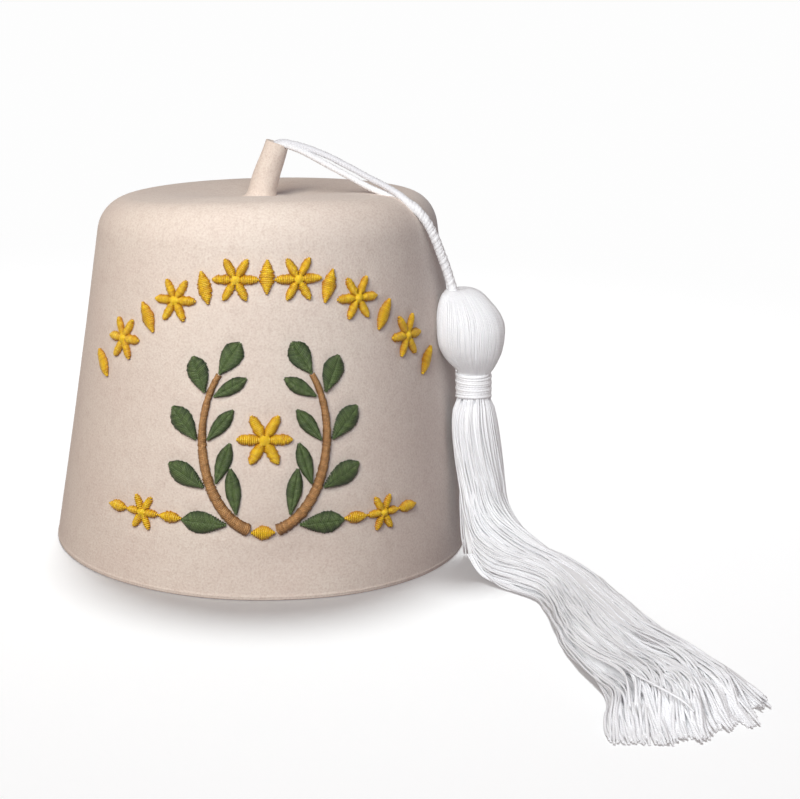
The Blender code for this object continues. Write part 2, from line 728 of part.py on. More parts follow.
def make_wreath(collection, green, brown, gold):
    """Two leafy branches in an open oval, a clasp where they meet and a rosette in the middle."""
    for side, name in ((-1, "left"), (1, "right")):
        places = [STALK_FROM + (STALK_TO - STALK_FROM) * i / STALK_STEPS for i in range(STALK_STEPS + 1)]
        line = [wreath_point(place, side) for place in places]
        halves = [stalk_half_width(place) for place in places]
        strip_pad(f"{name}_stalk", line, halves, 0.0, collection, brown)
        count = 0
        for place in LEAF_PLACES:
            share = (place - LEAF_PLACES[0]) / (LEAF_PLACES[-1] - LEAF_PLACES[0])
            length = LEAF_LENGTH + (LEAF_TIP_LENGTH - LEAF_LENGTH) * share
            along = wreath_heading(place, side)
            for splay in (-1, 1):
                count += 1
                heading = along + splay * LEAF_SPLAY
                reach = stalk_half_width(place) + LEAF_STANDOFF
                off = math.radians(along + splay * 90)
                u, v = wreath_point(place, side)
                base = (u + reach * math.cos(off), v + reach * math.sin(off))
                width = INNER_LEAF_WIDTH if splay == side else LEAF_WIDTH
                leaf_pad(f"{name}_leaf_{count}", base, heading, length, width, 0.0,
                         collection, green)
        leaf_pad(f"{name}_leaf_{count + 1}", wreath_point(TIP_LEAF_PLACE, side),
                 wreath_heading(TIP_LEAF_PLACE, side), LEAF_TIP_LENGTH, LEAF_WIDTH, 0.0,
                 collection, green)
    foot = WREATH_HEIGHT - WREATH_HALF_HEIGHT
    leaf_pad("wreath_clasp", (-CLASP_LENGTH / 2, foot), 0.0, CLASP_LENGTH, CLASP_WIDTH, 0.0,
             collection, gold)
    rosette_pad("wreath_rosette", (0.0, WREATH_HEIGHT), WREATH_ROSETTE_RADIUS, 0.0, collection, gold)


def main():
    clear_scene()
    fez = new_collection("fez_hat")
    cutters = new_collection("fez_hat_cutters")
    materials = {name: make_material(name) for name in COLOURS}
    make_crown(fez, materials["felt"])
    make_stem(fez, cutters, materials["felt"])
    make_cord(fez, materials["white_cord"])
    make_tassel(fez, cutters, materials["white_rayon"])
    make_binding(fez, materials["white_rayon"])
    make_arch(fez, materials["gold_thread"])
    make_corners(fez, materials["gold_thread"])
    make_wreath(fez, materials["green_thread"], materials["brown_thread"], materials["gold_thread"])


main()
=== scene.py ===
import math

import bmesh
import bpy
import numpy as np
from mathutils import Matrix, Vector


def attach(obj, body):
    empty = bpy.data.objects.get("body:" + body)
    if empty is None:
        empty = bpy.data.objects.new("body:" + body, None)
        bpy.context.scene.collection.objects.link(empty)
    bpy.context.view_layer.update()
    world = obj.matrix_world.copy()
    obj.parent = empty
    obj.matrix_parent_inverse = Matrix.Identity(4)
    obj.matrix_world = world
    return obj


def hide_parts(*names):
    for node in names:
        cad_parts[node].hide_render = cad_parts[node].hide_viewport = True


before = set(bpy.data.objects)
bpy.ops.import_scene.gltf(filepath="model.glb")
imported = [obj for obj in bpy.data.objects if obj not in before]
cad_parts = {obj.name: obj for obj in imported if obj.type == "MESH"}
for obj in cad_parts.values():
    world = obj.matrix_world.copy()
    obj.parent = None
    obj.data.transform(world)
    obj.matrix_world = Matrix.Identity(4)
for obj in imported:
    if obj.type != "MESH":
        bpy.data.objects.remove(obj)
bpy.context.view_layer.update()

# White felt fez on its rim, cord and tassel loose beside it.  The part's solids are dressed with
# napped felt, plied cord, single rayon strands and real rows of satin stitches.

mm = 0.001
fullTurn = 2 * math.pi
rng = np.random.default_rng(21)


# small helpers

def toLinear(hexColour):
    parts = [int(hexColour[i:i + 2], 16) / 255 for i in (1, 3, 5)]
    return [c / 12.92 if c <= 0.04045 else ((c + 0.055) / 1.055) ** 2.4 for c in parts] + [1.0]


def nodeAdder(tree):
    # add(kind, inputs, setting=value); a node among the inputs links by its first live output
    def add(kind, inputs={}, **settings):
        node = tree.nodes.new(kind)
        for name, value in settings.items():
            setattr(node, name, value)
        for key, value in inputs.items():
            if isinstance(value, bpy.types.Node):
                value = next(output for output in value.outputs if output.enabled)
            if isinstance(value, bpy.types.NodeSocket):
                tree.links.new(value, node.inputs[key])
            else:
                node.inputs[key].default_value = value
        return node
    return add


def newTree(name, sizes):
    tree = bpy.data.node_groups.new(name, "GeometryNodeTree")
    for label, kind in {"Geometry": "Geometry", **sizes, "Material": "Material"}.items():
        tree.interface.new_socket(label, in_out="INPUT", socket_type="NodeSocket" + kind)
    tree.interface.new_socket("Geometry", in_out="OUTPUT", socket_type="NodeSocketGeometry")
    return tree, nodeAdder(tree), tree.nodes.new("NodeGroupInput").outputs


def endTree(add, geometry, material):
    smooth = add("GeometryNodeSetShadeSmooth", {"Geometry": geometry})
    real = add("GeometryNodeRealizeInstances", {"Geometry": smooth})
    dressed = add("GeometryNodeSetMaterial", {"Geometry": real, "Material": material})
    add("NodeGroupOutput", {"Geometry": dressed})


def newObject(name, points, edges=(), faces=(), material=None):
    mesh = bpy.data.meshes.new(name)
    mesh.from_pydata([tuple(p) for p in points], edges, faces)
    mesh.shade_smooth()
    if material:
        mesh.materials.append(material)
    obj = bpy.data.objects.new(name, mesh)
    bpy.context.scene.collection.objects.link(obj)
    return obj


def grow(guide, tree, values, marks={}):
    # run the tree on the guide lines and keep the result as a plain mesh
    for label, numbers in marks.items():
        guide.data.attributes.new(label, "FLOAT", "POINT").data.foreach_set("value", list(numbers))
    modifier = guide.modifiers.new("grow", "NODES")
    modifier.node_group = tree
    for item in tree.interface.items_tree:
        if item.item_type == "SOCKET" and item.in_out == "INPUT" and item.name in values:
            modifier[item.identifier] = values[item.name]
    bpy.context.view_layer.update()
    evaluated = guide.evaluated_get(bpy.context.evaluated_depsgraph_get())
    mesh = bpy.data.meshes.new_from_object(evaluated)
    guide.modifiers.clear()
    guide.data = mesh
    mesh.name = guide.name
    return guide


def dress(piece, slotName, *nodes):
    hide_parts(*nodes)
    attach(piece, "root")
    return piece


def movePoints(obj, change):
    # change takes the mesh's points and gives their new places
    points = np.empty(len(obj.data.vertices) * 3)
    obj.data.vertices.foreach_get("co", points)
    points = change(points.reshape(-1, 3))
    obj.data.vertices.foreach_set("co", np.ascontiguousarray(points).ravel())
    obj.data.update()


def unit(vectors):
    return vectors / np.linalg.norm(vectors, axis=-1, keepdims=True)


def runAlong(line):
    return np.concatenate(([0], np.cumsum(np.linalg.norm(np.diff(line, axis=0), axis=1))))


def smoothLine(route, count):
    # evenly spaced points on a smooth curve through the route's own points
    route = np.asarray(route, float)
    padded = np.vstack((2 * route[0] - route[1], route, 2 * route[-1] - route[-2]))
    t = np.linspace(0, 1, 24, endpoint=False)[:, None]
    fine = [0.5 * (2 * b + (c - a) * t + (2 * a - 5 * b + 4 * c - d) * t ** 2
                   + (3 * b - a - 3 * c + d) * t ** 3)
            for a, b, c, d in zip(padded, padded[1:], padded[2:], padded[3:])]
    fine = np.vstack(fine + [route[-1:]])
    run = runAlong(fine)
    return atRuns(np.linspace(0, run[-1], count), run, fine)


def atRuns(wanted, run, rows):
    return np.stack([np.interp(wanted, run, column) for column in rows.T], axis=1)


def framesAlong(line, firstNormal):
    # normal and side at each point, turned as little as possible along the way
    tangents = unit(np.gradient(line, axis=0))
    normal = np.asarray(firstNormal, float)
    normals = []
    for tangent in tangents:
        normal = unit(normal - tangent * (normal @ tangent))
        normals.append(normal)
    return np.array(normals), np.cross(tangents, normals)


def around(centre, angle, first, second, sizes, otherSizes=None):
    # points round a centre, or round each centre of a line
    otherSizes = sizes if otherSizes is None else otherSizes
    return (centre + first * np.atleast_1d(sizes * np.cos(angle))[:, None]
            + second * np.atleast_1d(otherSizes * np.sin(angle))[:, None])


def evenAngles(count):
    return np.linspace(0, fullTurn, count, endpoint=False)


def smoothStep(x, low, high):
    t = np.clip((x - low) / (high - low), 0, 1)
    return t * t * (3 - 2 * t)


def between(first, last, share):
    return first + (last - first) * share


def pathEdges(lengths):
    starts = np.cumsum([0] + lengths)
    return [(s + i, s + i + 1) for s, n in zip(starts.tolist(), lengths) for i in range(n - 1)]


def ringFaces(rings, n):
    return [(row * n + i, row * n + (i + 1) % n, (row + 1) * n + (i + 1) % n, (row + 1) * n + i)
            for row in range(rings - 1) for i in range(n)]


def addCore(obj, rings):
    # closed form through rings, in mm, joined to the object's mesh
    bm = bmesh.new()
    bm.from_mesh(obj.data)
    n, total = len(rings[0]), len(rings) * len(rings[0])
    points = [bm.verts.new(tuple(p * mm)) for ring in rings for p in ring]
    made = [bm.faces.new([points[k] for k in face])
            for face in ringFaces(len(rings), n) + [range(n), range(total - n, total)]]
    for face in made:
        face.smooth = True
    bmesh.ops.recalc_face_normals(bm, faces=made)
    bm.to_mesh(obj.data)
    bm.free()


# camera, at the photo's angle

cameraSizes = {
    "place": (0.0, -0.7108, 0.2426),
    "right": (0.99638, -0.07722, 0.03546),
    "up": (-0.01533, 0.24712, 0.96886),
    "back": (-0.08358, -0.96590, 0.24504),
    "lens": 72.36,
}
cameraData = bpy.data.cameras.new("photoCamera")
cameraData.sensor_width = 36.0
cameraData.lens = cameraSizes["lens"]
cameraData.clip_start = 0.01
cameraData.clip_end = 60.0
camera = bpy.data.objects.new("photoCamera", cameraData)
bpy.context.scene.collection.objects.link(camera)
cameraTurn = Matrix([cameraSizes[k] for k in ("right", "up", "back")]).transposed()
camera.matrix_world = Matrix.LocRotScale(Vector(cameraSizes["place"]), cameraTurn.to_quaternion(), None)
bpy.context.scene.camera = camera
print("camera placed")


# materials

def newMaterial(name):
    material = bpy.data.materials.new(name)
    material.use_nodes = True
    material.node_tree.nodes.clear()
    return material, nodeAdder(material.node_tree)


def endMaterial(add, surface):
    add("ShaderNodeOutputMaterial", {"Surface": add("ShaderNodeBsdfPrincipled", surface)})


feltLook = {
    "cream": "#E9DBD0", "rose": "#DFCBC1", "grain": "#BFA79C", "pale": "#F6EDE4",
    # size in mm, detail and roughness; fibres are finer, but the nap is drawn this coarse so that it shows
    "cloud": (24.0, 3.0, 0.5), "blotch": (5.0, 3.0, 0.6), "nap": (0.85, 2.0, 0.6),
    # the noise at which each tint is fullest, and its share there
    "blotches": (0.8, 0.24), "darkNap": (0.85, 0.55), "paleNap": (0.15, 0.50),
    "cloudBump": (0.25, 0.5), "napBump": (0.20, 0.8),        # depth in mm, strength
    "roughness": 0.97, "gloss": 0.15, "sheen": 0.20, "sheenRoughness": 0.55,
}


def makeFelt():
    # napped wool felt, fulled and blocked: no thread shows, only a dry grainy nap with soft clouds
    look = feltLook
    material, add = newMaterial("nappedWoolFelt")
    place = add("ShaderNodeTexCoord").outputs["Object"]
    cloud, blotch, nap = [
        add("ShaderNodeTexNoise", {"Vector": place, "Scale": 1 / (size * mm), "Detail": detail,
                                   "Roughness": roughness})
        for size, detail, roughness in (look["cloud"], look["blotch"], look["nap"])]
    colour = add("ShaderNodeMix", {0: cloud, 6: toLinear(look["cream"]), 7: toLinear(look["rose"])},
                 data_type="RGBA")
    for noise, tint, tone in ((blotch, "blotches", "grain"), (nap, "darkNap", "grain"),
                              (nap, "paleNap", "pale")):
        fullest, most = look[tint]
        share = add("ShaderNodeMapRange", {"Value": noise, "From Min": 0.5, "From Max": fullest,
                                           "To Max": most})
        colour = add("ShaderNodeMix", {0: share, 6: colour, 7: toLinear(look[tone])}, data_type="RGBA")
    surface = {}
    for noise, bump in ((cloud, "cloudBump"), (nap, "napBump")):
        depth, strength = look[bump]
        surface["Normal"] = add("ShaderNodeBump", {"Height": noise, "Distance": depth * mm,
                                                   "Strength": strength, **surface})
    endMaterial(add, {"Base Color": colour, "Roughness": look["roughness"], **surface,
                      "Specular IOR Level": look["gloss"], "Sheen Weight": look["sheen"],
                      "Sheen Roughness": look["sheenRoughness"]})
    return material


threadLook = {"fleckRange": (0.5, 0.7), "grooveRange": (-1.0, 0.2), "diveSteep": 3.0, "diveShade": 0.8,
              "offset": 97.0}       # times the tone: each thread's plies start at another place


def makeThread(name, look):
    # plied thread: fine turns show as slanting ridges, and the lustre runs along them
    material, add = newMaterial(name)
    ring, along, tone, dive = [add("ShaderNodeAttribute", attribute_name=label)
                               for label in ("ring", "along", "tone", "dive")]
    axes = add("ShaderNodeSeparateXYZ", {0: ring.outputs["Vector"]})
    angle = add("ShaderNodeMath", {0: axes.outputs["Y"], 1: axes.outputs["X"]}, operation="ARCTAN2")
    plies = add("ShaderNodeMath", {0: angle, 1: float(look["plies"])}, operation="MULTIPLY")
    perMetre = fullTurn * look["plies"] / (look["turnMm"] * mm)
    turns = add("ShaderNodeMath", {0: along.outputs["Fac"], 1: perMetre, 2: plies}, operation="MULTIPLY_ADD")
    started = add("ShaderNodeMath", {0: tone.outputs["Fac"], 1: threadLook["offset"], 2: turns},
                  operation="MULTIPLY_ADD")
    wave = add("ShaderNodeMath", {0: started}, operation="SINE")
    place = add("ShaderNodeTexCoord").outputs["Object"]
    cloud = add("ShaderNodeTexNoise", {"Vector": place, "Scale": 1 / (look["cloudMm"] * mm)})
    soft = add("ShaderNodeMix", {0: cloud, 6: toLinear(look["light"]), 7: toLinear(look["deep"])},
               data_type="RGBA")
    # lighter flecks, painted highlights where a thread lies higher and catches the light; painted shade in
    # the grooves between the plies
    fleck = add("ShaderNodeTexNoise", {"Vector": place, "Scale": 1 / (look["fleckMm"] * mm), "Detail": 3.0,
                                       "Roughness": 0.6})
    fleckShare, groove = [
        add("ShaderNodeMapRange", {"Value": value, "From Min": threadLook[name][0],
                                   "From Max": threadLook[name][1], "To Min": low, "To Max": high})
        for value, name, low, high in ((fleck, "fleckRange", 0.0, look["flecks"]),
                                       (wave, "grooveRange", look["groove"], 0.0))]
    # each thread has its own tone, and painted shade darkens it where it dives into the cloth
    steep = add("ShaderNodeMath", {0: dive.outputs["Fac"], 1: threadLook["diveSteep"]}, operation="POWER")
    toneAndDiveShade = add("ShaderNodeMath", {0: steep, 1: threadLook["diveShade"], 2: tone.outputs["Fac"]},
                   operation="MULTIPLY_ADD", use_clamp=True)
    colour = soft
    for share, tint in ((fleckShare, "fleck"), (groove, "shade"), (toneAndDiveShade, "shade")):
        colour = add("ShaderNodeMix", {0: share, 6: colour, 7: toLinear(look[tint])}, data_type="RGBA")
    bump = add("ShaderNodeBump", {"Height": wave, "Distance": look["depthMm"] * mm,
                                  "Strength": look["strength"]})
    endMaterial(add, {"Base Color": colour, "Normal": bump, "Roughness": look["roughness"],
                      "Specular IOR Level": look["gloss"], "Sheen Weight": look["sheen"]})
    return material


whiteLook = {"fleck": "#FFFFFF", "plies": 2, "strength": 0.5, "sheen": 0.10}
stitchLook = {"plies": 2, "turnMm": 1.6, "depthMm": 0.05, "strength": 0.6, "sheen": 0.05}

felt = makeFelt()
rayon = makeThread("twistedRayonStrand", {**whiteLook,       # bright filament rayon, a silky streak along it
    "light": "#FCFCFC", "deep": "#F3F3F5", "shade": "#D6D6DA", "cloudMm": 9.0, "fleckMm": 2.5,
    "flecks": 0.5, "turnMm": 2.6, "groove": 0.22, "depthMm": 0.05, "roughness": 0.36, "gloss": 0.5})
cordThread = makeThread("pliedRayonCord", {**whiteLook,      # the same, harder twisted, a little duller
    "light": "#FAFAFA", "deep": "#F0F0F1", "shade": "#D9D9DD", "cloudMm": 6.0, "fleckMm": 1.5,
    "flecks": 0.4, "turnMm": 2.4, "groove": 0.20, "depthMm": 0.04, "roughness": 0.45, "gloss": 0.4})
goldThread = makeThread("goldRayonStitch", {**stitchLook,    # golden yellow rayon, with amber painted shade in its hollows
    "light": "#FFDC18", "deep": "#F2BC1E", "shade": "#BC790F", "cloudMm": 2.4, "fleck": "#FFEE4A",
    "fleckMm": 1.0, "flecks": 0.6, "groove": 0.25, "roughness": 0.38, "gloss": 0.5})
greenThread = makeThread("greenRayonStitch", {**stitchLook,  # leaf green, with painted shade nearly black between stitches
    "light": "#70864A", "deep": "#50623A", "shade": "#28341C", "cloudMm": 1.6, "fleck": "#98A178",
    "fleckMm": 0.9, "flecks": 0.55, "groove": 0.45, "roughness": 0.42, "gloss": 0.35})
brownThread = makeThread("tanRayonStitch", {**stitchLook,    # warm tan, like bark
    "light": "#E4AE72", "deep": "#BE8856", "shade": "#6E4826", "cloudMm": 1.6, "fleck": "#EABF8A",
    "fleckMm": 0.9, "flecks": 0.6, "groove": 0.55, "roughness": 0.45, "gloss": 0.35})
print("materials ready")


# thread tubes: one tree sweeps every strand, ply and winding

def sweepTubes(add, lines, along, radius, sides):
    # tubes that keep the run along the thread and the place round it, for the thread's material
    measured = add("GeometryNodeStoreNamedAttribute", {"Geometry": lines, "Name": "along", "Value": along},
                   data_type="FLOAT", domain="POINT")
    circle = add("GeometryNodeCurvePrimitiveCircle", {"Resolution": sides, "Radius": 1.0})
    marked = add("GeometryNodeStoreNamedAttribute",
                 {"Geometry": circle, "Name": "ring", "Value": add("GeometryNodeInputPosition")},
                 data_type="FLOAT_VECTOR", domain="POINT")
    return add("GeometryNodeCurveToMesh", {"Curve": measured, "Profile Curve": marked, "Scale": radius,
                                           "Fill Caps": True})


def makeTubeTree():
    tree, add, given = newTree("threadTubes", {"Sides": "Int", "Wander": "Float", "Wander size": "Float",
                                               "Seed": "Float"})
    line = add("GeometryNodeMeshToCurve", {"Mesh": given["Geometry"]})
    perMetre = add("ShaderNodeMath", {0: 1.0, 1: given["Wander size"]}, operation="DIVIDE")
    noise = add("ShaderNodeTexNoise", {"Vector": add("GeometryNodeInputPosition"), "W": given["Seed"],
                                       "Scale": perMetre, "Detail": 1.0}, noise_dimensions="4D")
    centred = add("ShaderNodeVectorMath", {0: noise.outputs["Color"], 1: (0.5, 0.5, 0.5)},
                  operation="SUBTRACT")
    loose = add("GeometryNodeInputNamedAttribute", {"Name": "loose"}, data_type="FLOAT")
    reach = add("ShaderNodeMath", {0: loose, 1: given["Wander"]}, operation="MULTIPLY")
    shift = add("ShaderNodeVectorMath", {0: centred, "Scale": reach}, operation="SCALE")
    wandered = add("GeometryNodeSetPosition", {"Geometry": line, "Offset": shift})
    radius = add("GeometryNodeInputNamedAttribute", {"Name": "threadRadius"}, data_type="FLOAT")
    length = add("GeometryNodeSplineParameter").outputs["Length"]
    endTree(add, sweepTubes(add, wandered, length, radius, given["Sides"]), given["Material"])
    return tree


tubeTree = makeTubeTree()


def growThreads(name, lines, radii, material, sides, loose=0.0, tones=0.0, wander=0.0, wanderSize=0.02,
                seed=1.0):
    # radii, loose and tones: one number for all, or one entry or row of entries for each thread
    lengths = [len(line) for line in lines]
    marks = {"threadRadius": radii, "loose": loose, "tone": tones}
    for label, values in marks.items():
        values = [values] * len(lines) if np.isscalar(values) else values
        marks[label] = np.concatenate([np.broadcast_to(v, n) for v, n in zip(values, lengths)])
    return grow(newObject(name, np.vstack(lines), pathEdges(lengths)), tubeTree,
                {"Sides": sides, "Wander": wander, "Wander size": wanderSize, "Seed": seed,
                 "Material": material}, marks)


# cord: two strands side by side to the shoulder, twisted where they hang

cordSizes = {
    "exit": (0.0056, -0.0016, 0.1773),
    "route": ((0.0026, 0.0004, 0.1762), (0.0056, -0.0016, 0.1772), (0.0094, -0.0040, 0.1768),
              (0.0154, -0.0078, 0.1753), (0.0223, -0.0122, 0.1728), (0.0291, -0.0164, 0.1699),
              (0.0359, -0.0206, 0.1669), (0.0424, -0.0246, 0.1639), (0.0489, -0.0286, 0.1614),
              (0.0556, -0.0330, 0.1588), (0.0615, -0.0360, 0.1550), (0.0666, -0.0366, 0.1496),
              (0.0704, -0.0356, 0.1430), (0.0736, -0.0342, 0.1358), (0.0766, -0.0328, 0.1286),
              (0.0793, -0.0318, 0.1212), (0.0804, -0.0316, 0.1178)),
    "length": 0.110,
    "diameter": 0.005,
    "steps": 330,
    "strand": (1.42, 1.96),         # mm, radius where the two lie side by side, and twisted
    "apart": (0.55, 1.82, 0.26),    # mm from the middle line: at the stalk, side by side, twisted
    "partBy": 0.28,                 # share of the length by which they lie fully apart
    "closing": (0.50, 0.64),        # shares between which they close up at the shoulder
    "twisting": (0.54, 0.78),       # and between which the twist sets in
    "strandTurn": 5.2,              # mm for one turn of the two strands
    "roll": (1.2, 0.35, 0.6),       # radians that the pair rolls, between these shares
    "plies": 3,
    "plyRadius": 0.76,              # of the strand's radius
    "plyTurn": 4.6,                 # mm of strand for one turn of its plies
    "tone": 0.12, "shadedTone": 0.55,        # the strand below lies in the other's shade
    "sides": 8,
    "upright": (0.463, 0.18, 0.868),
}


def makeCord():
    s = cordSizes
    line = smoothLine(s["route"], s["steps"])
    run = runAlong(line)
    share = run / run[-1]
    normals, sides = framesAlong(line, s["upright"])
    closed = smoothStep(share, *s["closing"])
    twist = np.cumsum(np.gradient(run) * smoothStep(share, *s["twisting"]))
    twist = fullTurn * twist / (s["strandTurn"] * mm) + s["roll"][0] * smoothStep(share, *s["roll"][1:])
    strand = between(*s["strand"], closed) * mm
    near, free, tight = s["apart"]
    apart = (near + (free - near) * smoothStep(share, 0.0, s["partBy"]) + (tight - free) * closed) * mm
    lines, radii, tones = [], [], []
    for which in (0, 1):
        middle = around(line, twist + math.pi * which, normals, sides, apart)
        across, beside = framesAlong(middle, s["upright"])
        for ply in range(s["plies"]):
            turn = fullTurn * (run / (s["plyTurn"] * mm) + ply / s["plies"])
            lines.append(around(middle, turn, across, beside, strand * (1 - s["plyRadius"])))
            radii.append(strand * s["plyRadius"])
            tones.append(s["tone"] + s["shadedTone"] * (1 - which) * (1 - closed))
    cord = growThreads("twistedCord", lines, radii, cordThread, s["sides"], tones=tones)
    return dress(cord, "white_cord", "tassel_cord"), line


cord, cordLine = makeCord()
print("cord laid")


# the form of the felt, as in the part, with the sag and the fuller side that the real one has

crownSizes = {
    "rim": 93.0, "top": 72.3, "height": 155.1, "rounding": 15.3, "dome": 2.0, "felt": 2.5,   # mm
    "riseRight": 3.3,
    "dent": 1.9, "dentTurn": 7.0, "dentTurnSpread": 13.0, "dentHeight": 17.0, "dentHeightSpread": 15.0,
    "bulge": 4.0, "bulgeTurn": 93.0, "bulgeTurnSpread": 20.0, "bulgeHeight": 85.0,
    "bulgeHeightSpread": 46.0,
    "oval": 0.4, "ovalTurn": 63.0,
    "sag": 3.6, "sagFrom": 6.0, "sagTo": 54.0,          # the top sags round the stalk
    "lip": 4.2, "lipSpread": 60.0,                      # and its front edge stands higher
    "columns": 480, "domeRows": 22, "roundingRows": 20, "sideRows": 92, "rimRows": 16, "edgeRows": 4,
    "innerRows": 22, "innerRounding": 8, "innerDome": 5,
    "rimBand": 4.2, "edgeRound": 0.7,
    "ridgeHeight": 1.5, "ridge": 0.16, "ridgeSpread": 0.45,       # pressed in just above the cut edge
    "nubRise": 0.9, "nubReach": 9.5, "nubPlace": -1.8,            # the top is drawn up at the stalk
    "uneven": 0.30, "unevenSize": 34.0,
    "pull": 0.32, "pullReach": 2.2, "pullMargin": 9.0, "skin": 1.2,    # the stitches draw the felt in
}
crownSlope = (crownSizes["rim"] - crownSizes["top"]) / crownSizes["height"]
crownLean = math.atan(crownSlope)
shoulderHeight = crownSizes["height"] - crownSizes["rounding"]
flatRadius = 82.0       # the wall is unrolled at this radius, mm


def feltForm(points):
    # dent, faint oval, fuller right side, then the top's lip, sag and rise; points in mm
    s = crownSizes
    x, y, z = points.T.copy()
    radius = np.maximum(np.hypot(x, y), 1e-6)
    turn = np.degrees(np.arctan2(x, -y))

    def hump(name):
        across = (turn - s[name + "Turn"]) / s[name + "TurnSpread"]
        up = (z - s[name + "Height"]) / s[name + "HeightSpread"]
        return s[name] * np.exp(-across ** 2 - up ** 2)

    share = z / shoulderHeight
    oval = s["oval"] * np.sin(np.radians(2 * turn + s["ovalTurn"])) * 4 * share * (1 - share)
    shift = np.where(z < shoulderHeight, oval - hump("dent"), 0) + hump("bulge")
    x += x / radius * shift
    y += y / radius * shift
    away = smoothStep(radius, s["sagFrom"], s["sagTo"])
    z += s["lip"] * np.exp(-(turn / s["lipSpread"]) ** 2) * smoothStep(z, shoulderHeight, s["height"]) * away
    z -= s["sag"] * (1 - away)
    z += z / s["height"] * s["riseRight"] * x / s["top"]
    return np.stack((x, y, z), axis=1)


def overFelt(flat):
    # flat points (turn line, height, lift) in mm to places over the front wall
    angle = flat[:, 0] / flatRadius
    out = crownSizes["rim"] - crownSlope * flat[:, 1] + flat[:, 2] * math.cos(crownLean)
    return feltForm(np.stack((out * np.sin(angle), -out * np.cos(angle),
                              flat[:, 1] + flat[:, 2] * math.sin(crownLean)), axis=1))


def flatPlace(turn, across, height):
    # degrees from the front and mm across, at a height, on the unrolled wall
    radius = crownSizes["rim"] - crownSlope * height
    return (math.radians(turn) + across / radius) * flatRadius, height


# embroidery: where every column of stitches runs; a column is a spine and its half widths

stitchSizes = {
    "spacing": 0.72, "thread": 0.40,     # mm; the real rows are closer, drawn this coarse so that they show
    "sides": 6, "arcPoints": 6, "crest": 1.45, "unevenWidth": 0.12, "tone": 0.50,
    "bow": 2.6, "veinSteep": 5.0,        # powers: how late a stitch falls, how narrow a vein is
    "fullWidth": 1.6, "narrowLift": 0.45,        # mm; narrower stitches lie lower, down to this share
}
leafShape = {"steps": 12, "tip": 0.12, "fullness": 0.8}
rosetteShape = {"petals": 6, "steps": 10, "root": 0.4, "from": 0.13, "to": 0.99, "least": 0.25}
archSizes = {"turn": 57.0, "crest": 131.0, "drop": 0.0128, "rosettes": 6, "radius": 9.2,
             "lozenge": 13.0, "lozengeWidth": 6.0}
cornerSizes = {"turn": 34.0, "height": 32.0, "radius": 7.6, "spread": 8.6, "lozenge": 0.75}
wreathSizes = {"height": 66.0, "halfWidth": 25.5, "halfHeight": 38.0, "radius": 11.0,
               "clasp": 9.0, "claspWidth": 6.0, "from": 13.0, "to": 132.0, "stalk": 4.6,
               "stalkTip": 2.0, "stalkSteps": 30, "places": (31.0, 60.0, 89.0, 118.0),
               "tipPlace": 134.0, "leaf": 18.0, "tipLeaf": 14.5, "leafWidth": 9.0,
               "innerWidth": 5.8, "splay": 40.0, "standoff": 1.1}


def ahead(base, heading, reach):
    angle = math.radians(heading)
    return base[0] + reach * math.cos(angle), base[1] + reach * math.sin(angle)


def column(turn, spine, halves):
    return [flatPlace(turn, u, v) for u, v in spine], list(halves)


def leafColumn(turn, base, heading, length, width):
    s = leafShape
    shares = [i / s["steps"] for i in range(s["steps"] + 1)]
    return column(turn, [ahead(base, heading, length * share) for share in shares],
                  [width / 2 * max(s["tip"], math.sin(math.pi * share) ** s["fullness"]) for share in shares])


def rosetteColumns(turn, middle, radius):
    s = rosetteShape
    reaches = [between(s["from"], s["to"], i / s["steps"]) for i in range(s["steps"] + 1)]
    halves = []
    for reach in reaches:
        bend = (reach - (1 + s["root"]) / 2) / ((1 - s["root"]) / 2)
        half = radius * reach * math.sin(math.acos(min(1.0, max(-1.0, bend))) / s["petals"])
        halves.append(max(s["least"], half))
    return [column(turn, [ahead(middle, 360 * petal / s["petals"], radius * reach) for reach in reaches],
                   halves) for petal in range(s["petals"])]


def archColumns():
    s = archSizes
    step = 2 * s["turn"] / s["rosettes"]
    found, knots = [], []
    for i in range(s["rosettes"]):
        turn = -s["turn"] + step * (i + 0.5)
        height = s["crest"] - s["drop"] * turn * turn
        found += rosetteColumns(turn, (0.0, height), s["radius"])
        knots.append((turn, height, s["radius"]))
    for i in range(s["rosettes"] + 1):
        turn = -s["turn"] + step * i
        height = s["crest"] - s["drop"] * turn * turn
        fall = -2 * s["drop"] * turn * math.degrees(1.0) / crownSizes["rim"]
        heading = 90 + math.degrees(math.atan(fall))
        found.append(leafColumn(turn, ahead((0.0, height), heading, -s["lozenge"] / 2), heading,
                                s["lozenge"], s["lozengeWidth"]))
    return found, knots


def cornerColumns():
    s = cornerSizes
    found, knots = [], []
    for turn in (-s["turn"], s["turn"]):
        found += rosetteColumns(turn, (0.0, s["height"]), s["radius"])
        knots.append((turn, s["height"], s["radius"]))
        for across, heading in ((-s["spread"], 180.0), (s["spread"], 0.0)):
            found.append(leafColumn(turn, (across, s["height"]), heading,
                                    s["lozenge"] * archSizes["lozenge"],
                                    s["lozenge"] * archSizes["lozengeWidth"]))
    return found, knots


def wreathPoint(place, side):
    # point and heading of one side of the wreath, degrees from its foot
    s = wreathSizes
    angle = math.radians(place)
    heading = math.atan2(s["halfHeight"] * math.sin(angle), side * s["halfWidth"] * math.cos(angle))
    return ((side * s["halfWidth"] * math.sin(angle), s["height"] - s["halfHeight"] * math.cos(angle)),
            math.degrees(heading))


def stalkHalf(place):
    s = wreathSizes
    return between(s["stalk"], s["stalkTip"], (place - s["from"]) / (s["to"] - s["from"])) / 2


